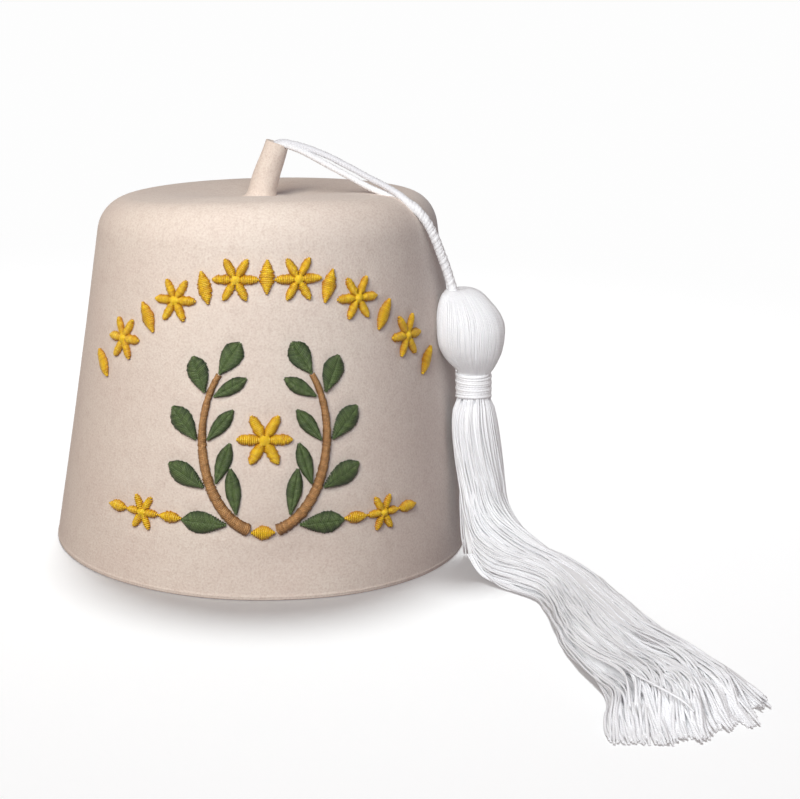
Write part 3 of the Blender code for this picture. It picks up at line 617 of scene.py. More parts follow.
def wreathColumns():
    s = wreathSizes
    leaves, stalks = [], []
    for side in (-1, 1):
        places = [between(s["from"], s["to"], i / s["stalkSteps"]) for i in range(s["stalkSteps"] + 1)]
        stalks.append(column(0.0, [wreathPoint(p, side)[0] for p in places], map(stalkHalf, places)))
        for place in s["places"]:
            share = (place - s["places"][0]) / (s["places"][-1] - s["places"][0])
            point, heading = wreathPoint(place, side)
            for splay in (-1, 1):
                base = ahead(point, heading + splay * 90, stalkHalf(place) + s["standoff"])
                leaves.append(leafColumn(0.0, base, heading + splay * s["splay"],
                                         between(s["leaf"], s["tipLeaf"], share),
                                         s["innerWidth"] if splay == side else s["leafWidth"]))
        leaves.append(leafColumn(0.0, *wreathPoint(s["tipPlace"], side), s["tipLeaf"], s["leafWidth"]))
    gold = rosetteColumns(0.0, (0.0, s["height"]), s["radius"])
    gold.append(leafColumn(0.0, (-s["clasp"] / 2, s["height"] - s["halfHeight"]), 0.0, s["clasp"],
                           s["claspWidth"]))
    return leaves, stalks, gold, [(0.0, s["height"], s["radius"])]


archGold, archKnots = archColumns()
cornerGold, cornerKnots = cornerColumns()
leafGreen, stalkBrown, wreathGold, wreathKnots = wreathColumns()
goldColumns = archGold + cornerGold + wreathGold


# crown: a turned profile, then the hand-made unevenness

def crownProfile():
    # out over the dome, down the side, round the cut edge and up inside
    s = crownSizes

    def corners(inset):
        rim = s["rim"] - inset / math.cos(crownLean)
        top = s["height"] - inset
        rounding = s["rounding"] - inset
        reach = rounding * math.tan((math.pi / 2 - crownLean) / 2)
        return rim, top, rounding, rim - crownSlope * top - reach, top - rounding

    def arc(x, z, radius, start, end, steps, first=0):
        angles = [between(start, end, i / steps) for i in range(first, steps + 1)]
        return [(x + radius * math.cos(a), z + radius * math.sin(a)) for a in angles]

    def dome(reach, top, shares):
        return [(reach * share, top + s["dome"] * (1 - share ** 2)) for share in shares]

    def wall(foot, low, high, steps):
        heights = [between(low, high, i / steps) for i in range(1, steps + 1)]
        return [(foot - crownSlope * height, height) for height in heights]

    rim, top, rounding, x, z = corners(0.0)
    points = dome(x, top, [i / s["domeRows"] for i in range(s["domeRows"])])
    points += arc(x, z, rounding, math.pi / 2, crownLean, s["roundingRows"])
    side = wall(rim, points[-1][1], s["rimBand"], s["sideRows"])
    side += wall(rim, s["rimBand"], s["edgeRound"], s["rimRows"])
    points += [(x + s["ridge"] * math.exp(-((z - s["ridgeHeight"]) / s["ridgeSpread"]) ** 2), z)
               for x, z in side]
    edge = s["edgeRound"]
    innerRim, top, rounding, x, z = corners(s["felt"])
    points += arc(rim - edge, edge, edge, 0, -math.pi / 2, s["edgeRows"], first=1)
    points += arc(innerRim + edge, edge, edge, 1.5 * math.pi, math.pi, s["edgeRows"])
    points += wall(innerRim, edge, z + rounding * math.sin(crownLean), s["innerRows"])
    points += arc(x, z, rounding, crownLean, math.pi / 2, s["innerRounding"], first=1)
    return points + dome(x, top, [1 - i / s["innerDome"] for i in range(1, s["innerDome"] + 1)])


def makeTurnTree():
    tree, add, given = newTree("turnedFelt", {"Columns": "Int", "Uneven": "Float", "Uneven size": "Float"})
    rows = add("GeometryNodeAttributeDomainSize", {"Geometry": given["Geometry"]},
               component="MESH").outputs["Point Count"]
    across = add("ShaderNodeMath", {0: given["Columns"], 1: 1.0}, operation="ADD")
    grid = add("GeometryNodeMeshGrid", {"Size X": 1.0, "Size Y": 1.0, "Vertices X": across,
                                        "Vertices Y": rows})
    place = add("GeometryNodeInputPosition")
    axes = add("ShaderNodeSeparateXYZ", {0: place})
    turn = add("ShaderNodeMath", {0: axes.outputs["X"], 1: fullTurn}, operation="MULTIPLY")
    last = add("ShaderNodeMath", {0: rows, 1: 1.0}, operation="SUBTRACT")
    share = add("ShaderNodeMath", {0: axes.outputs["Y"], 1: 0.5}, operation="ADD")
    row = add("ShaderNodeMath", {0: share, 1: last, 2: 0.25}, operation="MULTIPLY_ADD")
    whole = add("ShaderNodeMath", {0: row}, operation="FLOOR")
    profile = add("GeometryNodeSampleIndex", {"Geometry": given["Geometry"], "Value": place, "Index": whole},
                  data_type="FLOAT_VECTOR", domain="POINT")
    spot = add("ShaderNodeSeparateXYZ", {0: profile})
    x, y = [add("ShaderNodeMath", {0: spot.outputs["X"], 1: add("ShaderNodeMath", {0: turn}, operation=way)},
                operation="MULTIPLY") for way in ("SINE", "COSINE")]
    turned = add("ShaderNodeCombineXYZ", {"X": x, "Y": y, "Z": spot.outputs["Z"]})
    form = add("GeometryNodeSetPosition", {"Geometry": grid.outputs["Mesh"], "Position": turned})
    closed = add("GeometryNodeMergeByDistance", {"Geometry": form, "Distance": 0.005 * mm})
    # felt is never quite even: it stands out or in a little, level by level
    perMetre = add("ShaderNodeMath", {0: 1.0, 1: given["Uneven size"]}, operation="DIVIDE")
    noise = add("ShaderNodeTexNoise", {"Vector": place, "Scale": perMetre, "Detail": 3.0})
    centred = add("ShaderNodeMath", {0: noise, 1: 0.5}, operation="SUBTRACT")
    amount = add("ShaderNodeMath", {0: centred, 1: given["Uneven"]}, operation="MULTIPLY")
    level = add("ShaderNodeVectorMath", {0: place, 1: (1.0, 1.0, 0.0)}, operation="MULTIPLY")
    outward = add("ShaderNodeVectorMath", {0: level}, operation="NORMALIZE")
    shift = add("ShaderNodeVectorMath", {0: outward, "Scale": amount}, operation="SCALE")
    endTree(add, add("GeometryNodeSetPosition", {"Geometry": closed, "Offset": shift}), given["Material"])
    return tree


def pucker(points):
    # the felt is drawn in a little beside each column of stitches
    s = crownSizes
    radius = np.hypot(points[:, 0], points[:, 1])
    front = ((points[:, 2] < shoulderHeight) & (points[:, 1] < 0)
             & (radius > s["rim"] - crownSlope * points[:, 2] - s["skin"]))
    turn = np.arctan2(points[:, 0], -points[:, 1])
    flat = np.stack((turn * flatRadius, points[:, 2]), axis=1)[front]
    depth = np.zeros(len(flat))
    for spine, halves in goldColumns + leafGreen + stalkBrown:
        spine = np.array(spine)
        low, high = spine.min(axis=0) - s["pullMargin"], spine.max(axis=0) + s["pullMargin"]
        near = np.where(((flat > low) & (flat < high)).all(axis=1))[0]
        if len(near):
            gaps = np.linalg.norm(flat[near][:, None] - spine[None], axis=2) - np.array(halves)
            gap = np.maximum(gaps.min(axis=1), 0)
            depth[near] = np.maximum(depth[near], np.exp(-(gap / s["pullReach"]) ** 2))
    points[front, :2] *= (1 - s["pull"] * depth / radius[front])[:, None]


def formCrown(points):
    s = crownSizes
    points = points / mm
    pucker(points)
    fromStalk = np.hypot(points[:, 0] - s["nubPlace"], points[:, 1])
    points[:, 2] += np.where(points[:, 2] > s["height"],
                             s["nubRise"] * np.exp(-(fromStalk / s["nubReach"]) ** 4), 0)
    return feltForm(points) * mm


def makeCrown():
    s = crownSizes
    profile = [(r * mm, 0.0, z * mm) for r, z in crownProfile()]
    crown = grow(newObject("feltCrown", profile, pathEdges([len(profile)])), makeTurnTree(),
                 {"Columns": s["columns"], "Uneven": s["uneven"] * mm, "Uneven size": s["unevenSize"] * mm,
                  "Material": felt})
    movePoints(crown, formCrown)
    return dress(crown, "felt", "crown")


crown = makeCrown()
print("crown turned:", len(crown.data.polygons), "faces")


# stalk: a rolled felt stub, pressed in where the cord leaves it

stalkSizes = {
    "foot": (-2.7, 0.0, 153.7), "tip": (3.6, 0.0, 177.1), "tipLean": 17.0,       # mm, degrees
    "footPull": (0.1, 0.0, 0.33),            # how far the middle line heads for the tip as it starts
    "shares": (-0.03, 0.0, 0.03, 0.06, 0.1, 0.15, 0.22, 0.3, 0.4, 0.5, 0.6, 0.7, 0.8, 0.88, 0.94,
               0.98, 1.0),                   # rings stand closer at the foot and the tip
    "flareShare": (-0.03, 0.0, 0.05, 0.13, 0.28, 0.6, 1.0),
    "flareRadius": (8.6, 7.4, 6.5, 6.2, 6.0, 5.6, 5.1),
    "dish": 0.9,                             # mm that the cut tip is hollow
    # shares of the tip's radius and of that hollow, from the rim inwards
    "tipRings": ((0.94, -0.18), (0.86, -0.05), (0.7, 0.3), (0.5, 0.7), (0.3, 0.9), (0.12, 1.0)),
    "rings": 60, "sides": 56,
    "seam": 0.22, "seamAngle": 2.2, "seamWidth": 0.16,       # the roll's overlapping edge
    "wobble": ((0.10, 3, 5, 0), (0.06, 5, -9, 1)),           # mm, waves round it, turn up it, start
    "notch": 2.25, "notchRoute": 60,         # mm, and the cord's points that press it
    "notchDown": 0.2,                        # mm; the cord presses down rather than sideways
}


def makeStalk():
    s = stalkSizes
    foot, tip = np.array(s["foot"]), np.array(s["tip"])
    lean = math.radians(s["tipLean"])
    axis = np.array((math.sin(lean), 0.0, math.cos(lean)))
    low = foot + (tip - foot) * s["footPull"]
    high = tip - axis * np.linalg.norm(tip - foot) / 3
    shares = np.interp(np.linspace(0, 1, s["rings"]), np.linspace(0, 1, len(s["shares"])), s["shares"])
    t = shares[:, None]
    centres = (1 - t) ** 3 * foot + 3 * (1 - t) ** 2 * t * low + 3 * (1 - t) * t * t * high + t ** 3 * tip
    normals, sides = framesAlong(centres, (0.0, -1.0, 0.0))
    radii = np.interp(shares, s["flareShare"], s["flareRadius"])
    angles = evenAngles(s["sides"])
    seam = s["seam"] * np.exp(-((angles - s["seamAngle"]) / s["seamWidth"]) ** 2)
    rings = []
    for centre, normal, side, radius, share in zip(centres, normals, sides, radii, shares):
        wobble = sum(depth * np.sin(waves * angles + twist * share + start)
                     for depth, waves, twist, start in s["wobble"])
        rings.append(around(centre, angles, normal, side, radius - seam + wobble))
    for inner, drop in s["tipRings"]:
        rings.append(around(centres[-1] - axis * drop * s["dish"], angles, normals[-1], sides[-1],
                            radii[-1] * inner))
    points = np.vstack(rings + [[centres[-1] - axis * s["dish"]], [centres[0]]])
    # the cord presses its own notch
    gaps = points[:, None] - cordLine[None, :s["notchRoute"]] / mm
    distance = np.linalg.norm(gaps, axis=2)
    nearest = distance.argmin(axis=1)
    each = np.arange(len(points))
    away = gaps[each, nearest]
    away[:, 2] = -np.abs(away[:, 2]) - s["notchDown"]
    points += unit(away) * np.maximum(0, s["notch"] - distance[each, nearest])[:, None]
    n, rows = s["sides"], len(rings)
    top, bottom = rows * n, rows * n + 1
    faces = ringFaces(rows, n)
    for i in range(n):
        j = (i + 1) % n
        faces += [((rows - 1) * n + i, (rows - 1) * n + j, top), (j, i, bottom)]
    return dress(newObject("feltStalk", points * mm, (), faces, felt), "felt", "stem")


stalk = makeStalk()
print("stalk rolled")


# stitches: one tree lays satin rows over a spine

def makeStitchTree():
    tree, add, given = newTree("satinStitches", {
        "Spacing": "Float", "Thread": "Float", "Sides": "Int", "Arc points": "Int", "Crest": "Float",
        "Sweep": "Float", "Vein": "Float", "Uneven width": "Float", "Tone": "Float", "Seed": "Int"})
    s = stitchSizes
    spine = add("GeometryNodeMeshToCurve", {"Mesh": given["Geometry"]})
    even = add("GeometryNodeResampleCurve", {"Curve": spine, "Length": given["Spacing"]}, mode="LENGTH")
    marked = add("GeometryNodeStoreNamedAttribute",
                 {"Geometry": even, "Name": "heading", "Value": add("GeometryNodeInputTangent")},
                 data_type="FLOAT_VECTOR", domain="POINT")
    spots = add("GeometryNodeCurveToPoints", {"Curve": marked}, mode="EVALUATED")
    heading = add("GeometryNodeInputNamedAttribute", {"Name": "heading"}, data_type="FLOAT_VECTOR")
    turn = add("FunctionNodeAxesToRotation", {0: (0.0, 0.0, 1.0), 1: heading},
               primary_axis="Z", secondary_axis="Y")
    half = add("GeometryNodeInputNamedAttribute", {"Name": "halfWidth"}, data_type="FLOAT")
    least, most = [add("ShaderNodeMath", {0: 1.0, 1: given["Uneven width"]}, operation=way)
                   for way in ("SUBTRACT", "ADD")]
    # half an arc of thread, from the spine out to the edge, lower along a leaf's vein
    arc = add("GeometryNodeCurvePrimitiveLine", {"Start": (0, 0, 0), "End": (1, 0, 0)})
    arcPoints = add("GeometryNodeResampleCurve", {"Curve": arc, "Count": given["Arc points"]}, mode="COUNT")
    out = add("ShaderNodeSeparateXYZ", {0: add("GeometryNodeInputPosition")}).outputs["X"]
    swept = add("ShaderNodeMath", {0: out, 1: given["Sweep"]}, operation="MULTIPLY")
    bow = add("ShaderNodeMath", {0: out, 1: s["bow"]}, operation="POWER")
    fall = add("ShaderNodeMath", {0: 1.0, 1: bow}, operation="SUBTRACT")
    inner = add("ShaderNodeMath", {0: 1.0, 1: out}, operation="SUBTRACT")
    steep = add("ShaderNodeMath", {0: inner, 1: s["veinSteep"]}, operation="POWER")
    dip = add("ShaderNodeMath", {0: steep, 1: given["Vein"]}, operation="MULTIPLY")
    keep = add("ShaderNodeMath", {0: 1.0, 1: dip}, operation="SUBTRACT")
    lift = add("ShaderNodeMath", {0: fall, 1: keep}, operation="MULTIPLY")
    bowed = add("ShaderNodeCombineXYZ", {"X": out, "Y": swept, "Z": lift})
    # how far out along the arc, where the thread's material paints shade as the stitch dives into the cloth
    dived = add("GeometryNodeStoreNamedAttribute", {"Geometry": arcPoints, "Name": "dive", "Value": out},
                data_type="FLOAT", domain="POINT")
    arch = add("GeometryNodeSetPosition", {"Geometry": dived, "Position": bowed})
    thin = add("ShaderNodeMapRange", {"Value": half, "From Max": s["fullWidth"], "To Min": s["narrowLift"]})
    high = add("ShaderNodeMath", {0: thin, 1: given["Crest"]}, operation="MULTIPLY")
    both = add("GeometryNodeJoinGeometry")
    for side in (1.0, -1.0):
        width = add("FunctionNodeRandomValue", {2: least, 3: most, "Seed": given["Seed"]}, data_type="FLOAT")
        wide = add("ShaderNodeMath", {0: half, 1: width}, operation="MULTIPLY")
        signed = add("ShaderNodeMath", {0: wide, 1: side}, operation="MULTIPLY")
        size = add("ShaderNodeCombineXYZ", {"X": signed, "Y": wide, "Z": high})
        rows = add("GeometryNodeInstanceOnPoints", {"Points": spots, "Instance": arch, "Rotation": turn,
                                                    "Scale": size})
        tree.links.new(rows.outputs[0], both.inputs[0])
    shade = add("FunctionNodeRandomValue", {2: 0.0, 3: given["Tone"], "Seed": given["Seed"]},
                data_type="FLOAT")
    toned = add("GeometryNodeStoreNamedAttribute", {"Geometry": both, "Name": "tone", "Value": shade},
                data_type="FLOAT", domain="INSTANCE")
    real = add("GeometryNodeRealizeInstances", {"Geometry": toned})
    length = add("GeometryNodeSplineParameter").outputs["Length"]
    inMetres = add("ShaderNodeMath", {0: length, 1: mm}, operation="MULTIPLY")
    endTree(add, sweepTubes(add, real, inMetres, given["Thread"], given["Sides"]), given["Material"])
    return tree


stitchTree = makeStitchTree()


def stitchPiece(name, columns, material, slotName, nodes, sweep=0.0, vein=0.0, neat=1.0, seed=3):
    s = stitchSizes
    points = [(x, y, 0.0) for spine, _ in columns for x, y in spine]
    halves = [half for _, own in columns for half in own]
    piece = grow(newObject(name, points, pathEdges([len(spine) for spine, _ in columns])), stitchTree,
                 {"Spacing": s["spacing"], "Thread": s["thread"], "Sides": s["sides"],
                  "Arc points": s["arcPoints"], "Crest": s["crest"], "Sweep": sweep, "Vein": vein,
                  "Uneven width": s["unevenWidth"] * neat, "Tone": s["tone"], "Seed": seed,
                  "Material": material}, {"halfWidth": halves})
    movePoints(piece, lambda flat: overFelt(flat) * mm)
    print(name, len(piece.data.polygons), "faces")
    return dress(piece, slotName, *nodes)


cadNodes = sorted(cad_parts)
goldNodes = [n for n in cadNodes if n.endswith(("rosette", "lozenge", "clasp"))
             or n.startswith(("arch_rosette", "arch_lozenge"))]
goldPiece = stitchPiece("goldStitches", goldColumns, goldThread, "gold_thread", goldNodes)
greenPiece = stitchPiece("greenStitches", leafGreen, greenThread, "green_thread",
                         [n for n in cadNodes if "_leaf_" in n], sweep=0.45, vein=0.45, neat=0.4, seed=4)
brownPiece = stitchPiece("brownStitches", stalkBrown, brownThread, "brown_thread",
                         [n for n in cadNodes if n.endswith("_stalk")], sweep=0.25, seed=5)

knotSizes = {"turns": 4.2, "from": 0.04, "reach": 0.19, "lift": 2.0, "fall": 0.9, "thread": 0.30,
             "steps": 90, "sides": 6}


def makeKnots():
    # a wound knot in the middle of each rosette
    s = knotSizes
    share = np.linspace(s["from"], 1, s["steps"])
    angle = fullTurn * s["turns"] * share
    lines = []
    for turn, height, radius in archKnots + cornerKnots + wreathKnots:
        x, y = flatPlace(turn, 0.0, height)
        reach = s["reach"] * radius * share
        lines.append(overFelt(np.stack((x + reach * np.cos(angle), y + reach * np.sin(angle),
                                        s["lift"] - s["fall"] * share ** 2), axis=1)) * mm)
    knots = growThreads("goldKnots", lines, s["thread"] * mm, goldThread, s["sides"])
    return dress(knots, "gold_thread", *[n for n in goldNodes if "rosette" in n])


knots = makeKnots()
print("embroidery laid")


# tassel head and neck winding

headSizes = {   # x, y, z, half width, half depth of each section, mm
    "rows": ((80.7, -31.6, 117.4, 1.9, 1.8), (81.5, -31.4, 119.4, 4.6, 4.2), (83.7, -31.3, 118.3, 8.6, 7.8),
             (85.3, -31.3, 115.0, 11.6, 10.6), (87.1, -31.8, 109.8, 14.4, 13.3),
             (88.2, -32.2, 104.2, 15.9, 14.5), (88.5, -32.3, 98.9, 15.9, 14.5),
             (88.8, -32.4, 94.0, 14.6, 13.5), (89.5, -32.6, 89.2, 11.8, 11.2),
             (90.4, -32.8, 85.6, 8.8, 8.6), (90.6, -32.9, 84.0, 7.4, 7.3), (90.5, -32.9, 81.0, 6.6, 6.6)),
    "heading": 70.0,             # of the width line, degrees
    "threads": 104, "sides": 7, "steps": 48,
    "thinnest": 0.30,            # mm, radius
    "overlap": 1.04,
    "sink": 0.55,
    "uneven": 0.10, "crowding": 0.16,
    "sway": 0.012, "swayPace": 5.0,          # radians
    "tilt": 1.3,                 # mm, the far side of the top stands this much higher
    "tiltWidth": 6.0, "tiltTo": 0.3,
    "looseFrom": (0.05, 0.3), "looseTo": (0.75, 0.95),       # shares between which threads wander
    "wander": 0.6, "wanderSize": 9.0, "seed": 2.0,           # mm
    "tone": 0.22,
    "core": 0.975, "coreFrom": 5, "coreSides": 36,
}


def makeHead():
    s = headSizes
    rows = smoothLine(s["rows"], s["steps"])
    centres, wide, deep = rows[:, :3], rows[:, 3], rows[:, 4]
    mean = (wide + deep) / 2
    heading = math.radians(s["heading"])
    across = np.array((math.cos(heading), math.sin(heading), 0.0))
    depth = np.array((math.sin(heading), -math.cos(heading), 0.0))
    share = np.linspace(0, 1, len(rows))
    lines, radii = [], []
    for i, own in enumerate(rng.normal(0, 1, (s["threads"], 4))):
        angle = fullTurn * (i + s["crowding"] * own[0]) / s["threads"]
        angle = angle + s["sway"] * (1 + own[2]) * np.sin(s["swayPace"] * share + 2 * own[1])
        thread = np.maximum(math.pi * mean / s["threads"] * (1 + s["uneven"] * own[3]), s["thinnest"])
        out = 1 - s["sink"] * thread / mean
        points = around(centres, angle, across, depth, wide * out, deep * out)
        points[:, 2] += (s["tilt"] * (points[:, 0] - centres[:, 0]) / s["tiltWidth"]
                         * (1 - smoothStep(share, 0.0, s["tiltTo"])))
        lines.append(points * mm)
        radii.append(thread * mm * s["overlap"])
    loose = smoothStep(share, *s["looseFrom"]) * (1 - smoothStep(share, *s["looseTo"]))
    head = growThreads("tasselHead", lines, radii, rayon, s["sides"], [loose] * len(lines),
                       rng.uniform(0.0, s["tone"], len(lines)), s["wander"] * mm, s["wanderSize"] * mm,
                       s["seed"])
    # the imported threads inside, so that no light comes through between the outer ones
    angles = evenAngles(s["coreSides"])
    addCore(head, [around(row[:3], angles, across, depth, row[3] * s["core"], row[4] * s["core"])
                   for row in rows[s["coreFrom"]:]])
    return dress(head, "white_rayon", "tassel")


head = makeHead()

windingSizes = {"turns": 10, "radius": 7.30, "thread": 0.66, "top": (90.4, -32.9, 84.0),     # mm
                "foot": (90.9, -33.1, 71.6), "ends": 0.8, "stepsPerTurn": 40, "sides": 8,
                "tilt": (0.45, 0.25), "tiltPace": (9.0, 3.0), "uneven": 0.14, "unevenWaves": 3.5,
                "tuck": 0.5, "tuckShare": 0.02,
                "core": 6.85, "coreEnds": 0.2, "coreSides": 36}


def makeWinding():
    s = windingSizes
    top, foot = np.array(s["top"]), np.array(s["foot"])
    axis = unit(foot - top)
    line = np.linspace(top + axis * s["ends"], foot - axis * s["ends"], s["turns"] * s["stepsPerTurn"])
    normals, sides = framesAlong(line, (1.0, 0.0, 0.0))
    share = np.linspace(0, 1, len(line))
    angle = fullTurn * s["turns"] * share
    (mean, spread), (pace, drift) = s["tilt"], s["tiltPace"]
    tilt = (mean + spread * np.sin(pace * share)) * np.sin(angle + drift * share)
    reach = (s["radius"] + s["uneven"] * np.sin(fullTurn * s["unevenWaves"] * share)
             - s["tuck"] * (1 - smoothStep(share, 0, s["tuckShare"])))
    path = around(line, angle, normals, sides, reach) + axis * tilt[:, None]
    winding = growThreads("neckWinding", [path * mm], s["thread"] * mm, rayon, s["sides"])
    angles = evenAngles(s["coreSides"])
    middles = (line[0] + axis * s["coreEnds"], line[len(line) // 2], line[-1] - axis * s["coreEnds"])
    addCore(winding, [around(middle, angles, normals[0], sides[0], s["core"]) for middle in middles])
    return dress(winding, "white_rayon", "neck_binding")


winding = makeWinding()
print("head and winding made")


# skirt: every strand on its own line

skirtSizes = {   # x, y, z, half to the left, half to the right, half height, heading of the width line
    "rows": ((90.9, -33.1, 71.6, 6.4, 6.4, 6.4, 70.0), (91.1, -33.2, 69.0, 9.4, 10.0, 8.8, 68.0),
             (91.6, -33.5, 62.0, 11.7, 12.6, 10.0, 66.0), (93.4, -34.3, 49.8, 12.5, 13.6, 10.4, 62.0),
             (95.6, -35.5, 36.5, 12.8, 13.0, 10.0, 58.0), (98.6, -39.0, 24.0, 15.0, 10.6, 9.0, 50.0),
             (103.6, -47.0, 14.0, 18.4, 12.2, 8.2, 40.0), (111.0, -60.0, 8.4, 20.4, 15.8, 7.4, 28.0),
             (120.0, -73.0, 7.0, 18.0, 16.8, 6.6, 20.0), (127.0, -87.0, 6.1, 14.6, 18.6, 5.8, 14.0),
             (131.0, -103.0, 5.4, 16.6, 18.8, 5.1, 10.0), (134.0, -120.0, 5.0, 20.4, 20.8, 4.7, 10.0),
             (137.0, -137.0, 4.7, 23.6, 22.6, 4.4, 12.0), (141.0, -154.0, 4.5, 25.4, 24.4, 4.2, 15.0),
             (146.0, -171.0, 4.3, 27.0, 27.0, 4.0, 16.0), (149.6, -186.0, 4.0, 28.8, 31.2, 3.7, 17.0),
             (150.8, -199.0, 3.7, 31.0, 35.0, 3.4, 21.0), (150.4, -211.0, 3.3, 33.0, 38.0, 3.0, 26.0),
             (149.8, -224.0, 3.1, 34.0, 40.0, 2.8, 28.0)),
    "length": 245.0, "spare": 13.0,      # mm; the last section lies past the mean length
    "cutSides": (-1.0, -0.5, 0.0, 0.3, 0.6, 0.8, 1.0),       # the cut, from near left to far right
    "cutLengths": (255.0, 254.0, 249.0, 240.0, 231.0, 228.0, 230.0),
    "strands": 480, "sides": 5, "steps": 62, "sections": 160,
    "thread": 0.46,              # mm, radius
    "threadSpread": 0.12,
    "packing": 0.95, "shake": 0.012,         # share of the bundle that is filled, and its disorder
    "clumps": 58, "clumpRounds": 12,
    "lies": (0.26, 0.42),        # shares of the length between which the bundle comes to lie
    "flatPower": 0.8,            # how flat it lies at its sides
    "fullest": 0.985,
    "twist": -1.7,               # radians down the hanging stretch
    # shares of the length between which it twists, gathers, waves, comes loose and thickens
    "twisting": (0.02, 0.42), "gathering": (0.12, 0.45), "waving": (0.03, 0.25), "loosening": (0.04, 0.2),
    "thickening": (0.0, 0.06),
    "swing": 0.30, "swingPace": 3.1, "swingStart": 0.3,
    "gather": (0.06, 0.42),      # share by which a clump draws together: all along, and at the cut
    "gatherEnd": (30.0, 3.0),    # mm before the cut
    # share of the bundle and radians: sideways in a clump and by itself, up in a clump and by itself
    "waves": ((0.035, 11.0), (0.030, 21.0), (0.050, 9.0), (0.060, 19.0)),
    "splay": (0.05, 0.025), "splayFrom": 34.0,           # of a clump, of a strand; mm before the cut
    "cutSpread": (2.0, 1.5),     # mm: of a clump, of a strand
    "crest": 4.2,                # how far the strands rise before their ends curl down, mm
    "lowCrest": 0.25,            # share of it at the bundle's underside
    "crestPlace": 1.15, "crestWidth": 0.75,              # of the curled stretch
    "crestSpread": 0.2, "farCrest": 0.6,
    "curl": 22.0, "leastCurl": 11.0,         # mm of each strand that curls down
    "curlSpread": (5.0, 2.5),    # mm: of a clump, of a strand
    "drop": (0.84, 0.08), "farDrop": 0.7, "farFrom": (0.55, 0.95),
    "clear": 0.17, "ripple": 0.12, "ripplePace": 17.0,   # mm above the surface
    "thin": 0.72, "flare": 0.42, "flareFrom": (28.0, 6.0), "tipTaper": 0.7,
    "start": 3.0,                # mm that each strand starts inside the winding
    "wander": 1.5, "wanderSize": 16.0, "seed": 5.0,      # mm
    "tone": 0.16,
    "looseSpread": 0.5, "looseRise": 0.3, "looseWander": 0.4,
    "floorGap": 0.05,            # mm
    "core": (0.87, 0.80),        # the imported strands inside, share of the bundle: hanging, lying
    "coreLies": (0.22, 0.42),
    "coreStart": 1.0, "coreShort": 9.0,      # mm from the winding, and before the cut
    "coreSides": 32, "coreSteps": 60, "coreDrop": 0.88,
}
# strands that lie loose beside the bundle or over it: how many, and where they run, mm
looseStrands = (
    (1, ((125.4, -163.3, 7.0), (129.3, -179.6, 10.2), (131.8, -189.7, 11.2), (138.6, -201.8, 11.2),
         (145.0, -208.0, 9.2), (148.6, -209.0, 6.0))),
    (4, ((88.4, -62.6, 10.0), (92.6, -67.9, 4.0), (96.7, -71.2, 1.6), (100.1, -74.8, 1.2),
         (106.1, -80.4, 1.2), (112.3, -87.9, 1.2), (116.4, -97.1, 1.6), (119.8, -112.9, 3.0))),
    (2, ((86.5, -39.0, 36.1), (86.7, -40.0, 27.2), (87.6, -41.0, 13.6), (88.8, -41.0, 6.5),
         (89.9, -36.0, 1.0))),
)


def skirtFrames():
    # middle, half sizes, width line, height line and tangent, evenly spaced down the skirt
    rows = smoothLine(skirtSizes["rows"], skirtSizes["sections"])
    tangents = unit(np.gradient(rows[:, :3], axis=0))
    turn = np.radians(rows[:, 6])
    across = np.stack((np.cos(turn), np.sin(turn), np.zeros(len(turn))), axis=1)
    across = unit(across - tangents * (across * tangents).sum(axis=1)[:, None])
    return np.hstack((rows[:, :6], across, np.cross(tangents, across), tangents))


def packDisc(count):
    # sunflower packing, shaken a little
    k = np.arange(count) + 0.5
    reach = np.sqrt(k / count) * skirtSizes["packing"]
    angle = k * math.pi * (3 - math.sqrt(5))
    spots = np.stack((reach * np.cos(angle), reach * np.sin(angle)), axis=1)
    return spots + rng.normal(0, skirtSizes["shake"], (count, 2))


def clumpsOf(spots):
    # which clump each strand belongs to, and where the clumps are, spread evenly over the disc
    s = skirtSizes
    angle = rng.uniform(0, fullTurn, s["clumps"])
    reach = np.sqrt(rng.uniform(0, 1, s["clumps"]))
    middles = np.stack((reach * np.cos(angle), reach * np.sin(angle)), axis=1)
    for _ in range(s["clumpRounds"]):
        owner = np.linalg.norm(spots[:, None] - middles[None], axis=2).argmin(axis=1)
        for k in range(s["clumps"]):
            if (owner == k).any():
                middles[k] = spots[owner == k].mean(axis=0)
    return owner, middles


def inBundle(rows, t, u, v):
    # hanging, the bundle is round; lying, it is flat below and domed above
    s = skirtSizes
    dome = np.sqrt(np.maximum(1 - u * u, 0.02))
    flat = -1 + (np.clip(v / dome, -1, 1) + 1) * dome ** s["flatPower"]
    height = between(v, flat, smoothStep(t, *s["lies"]))
    width = np.where(u < 0, rows[:, 3], rows[:, 4])
    return (rows[:, :3] + rows[:, 6:9] * (u * width)[:, None]
            + rows[:, 9:12] * (height * rows[:, 5])[:, None]), height


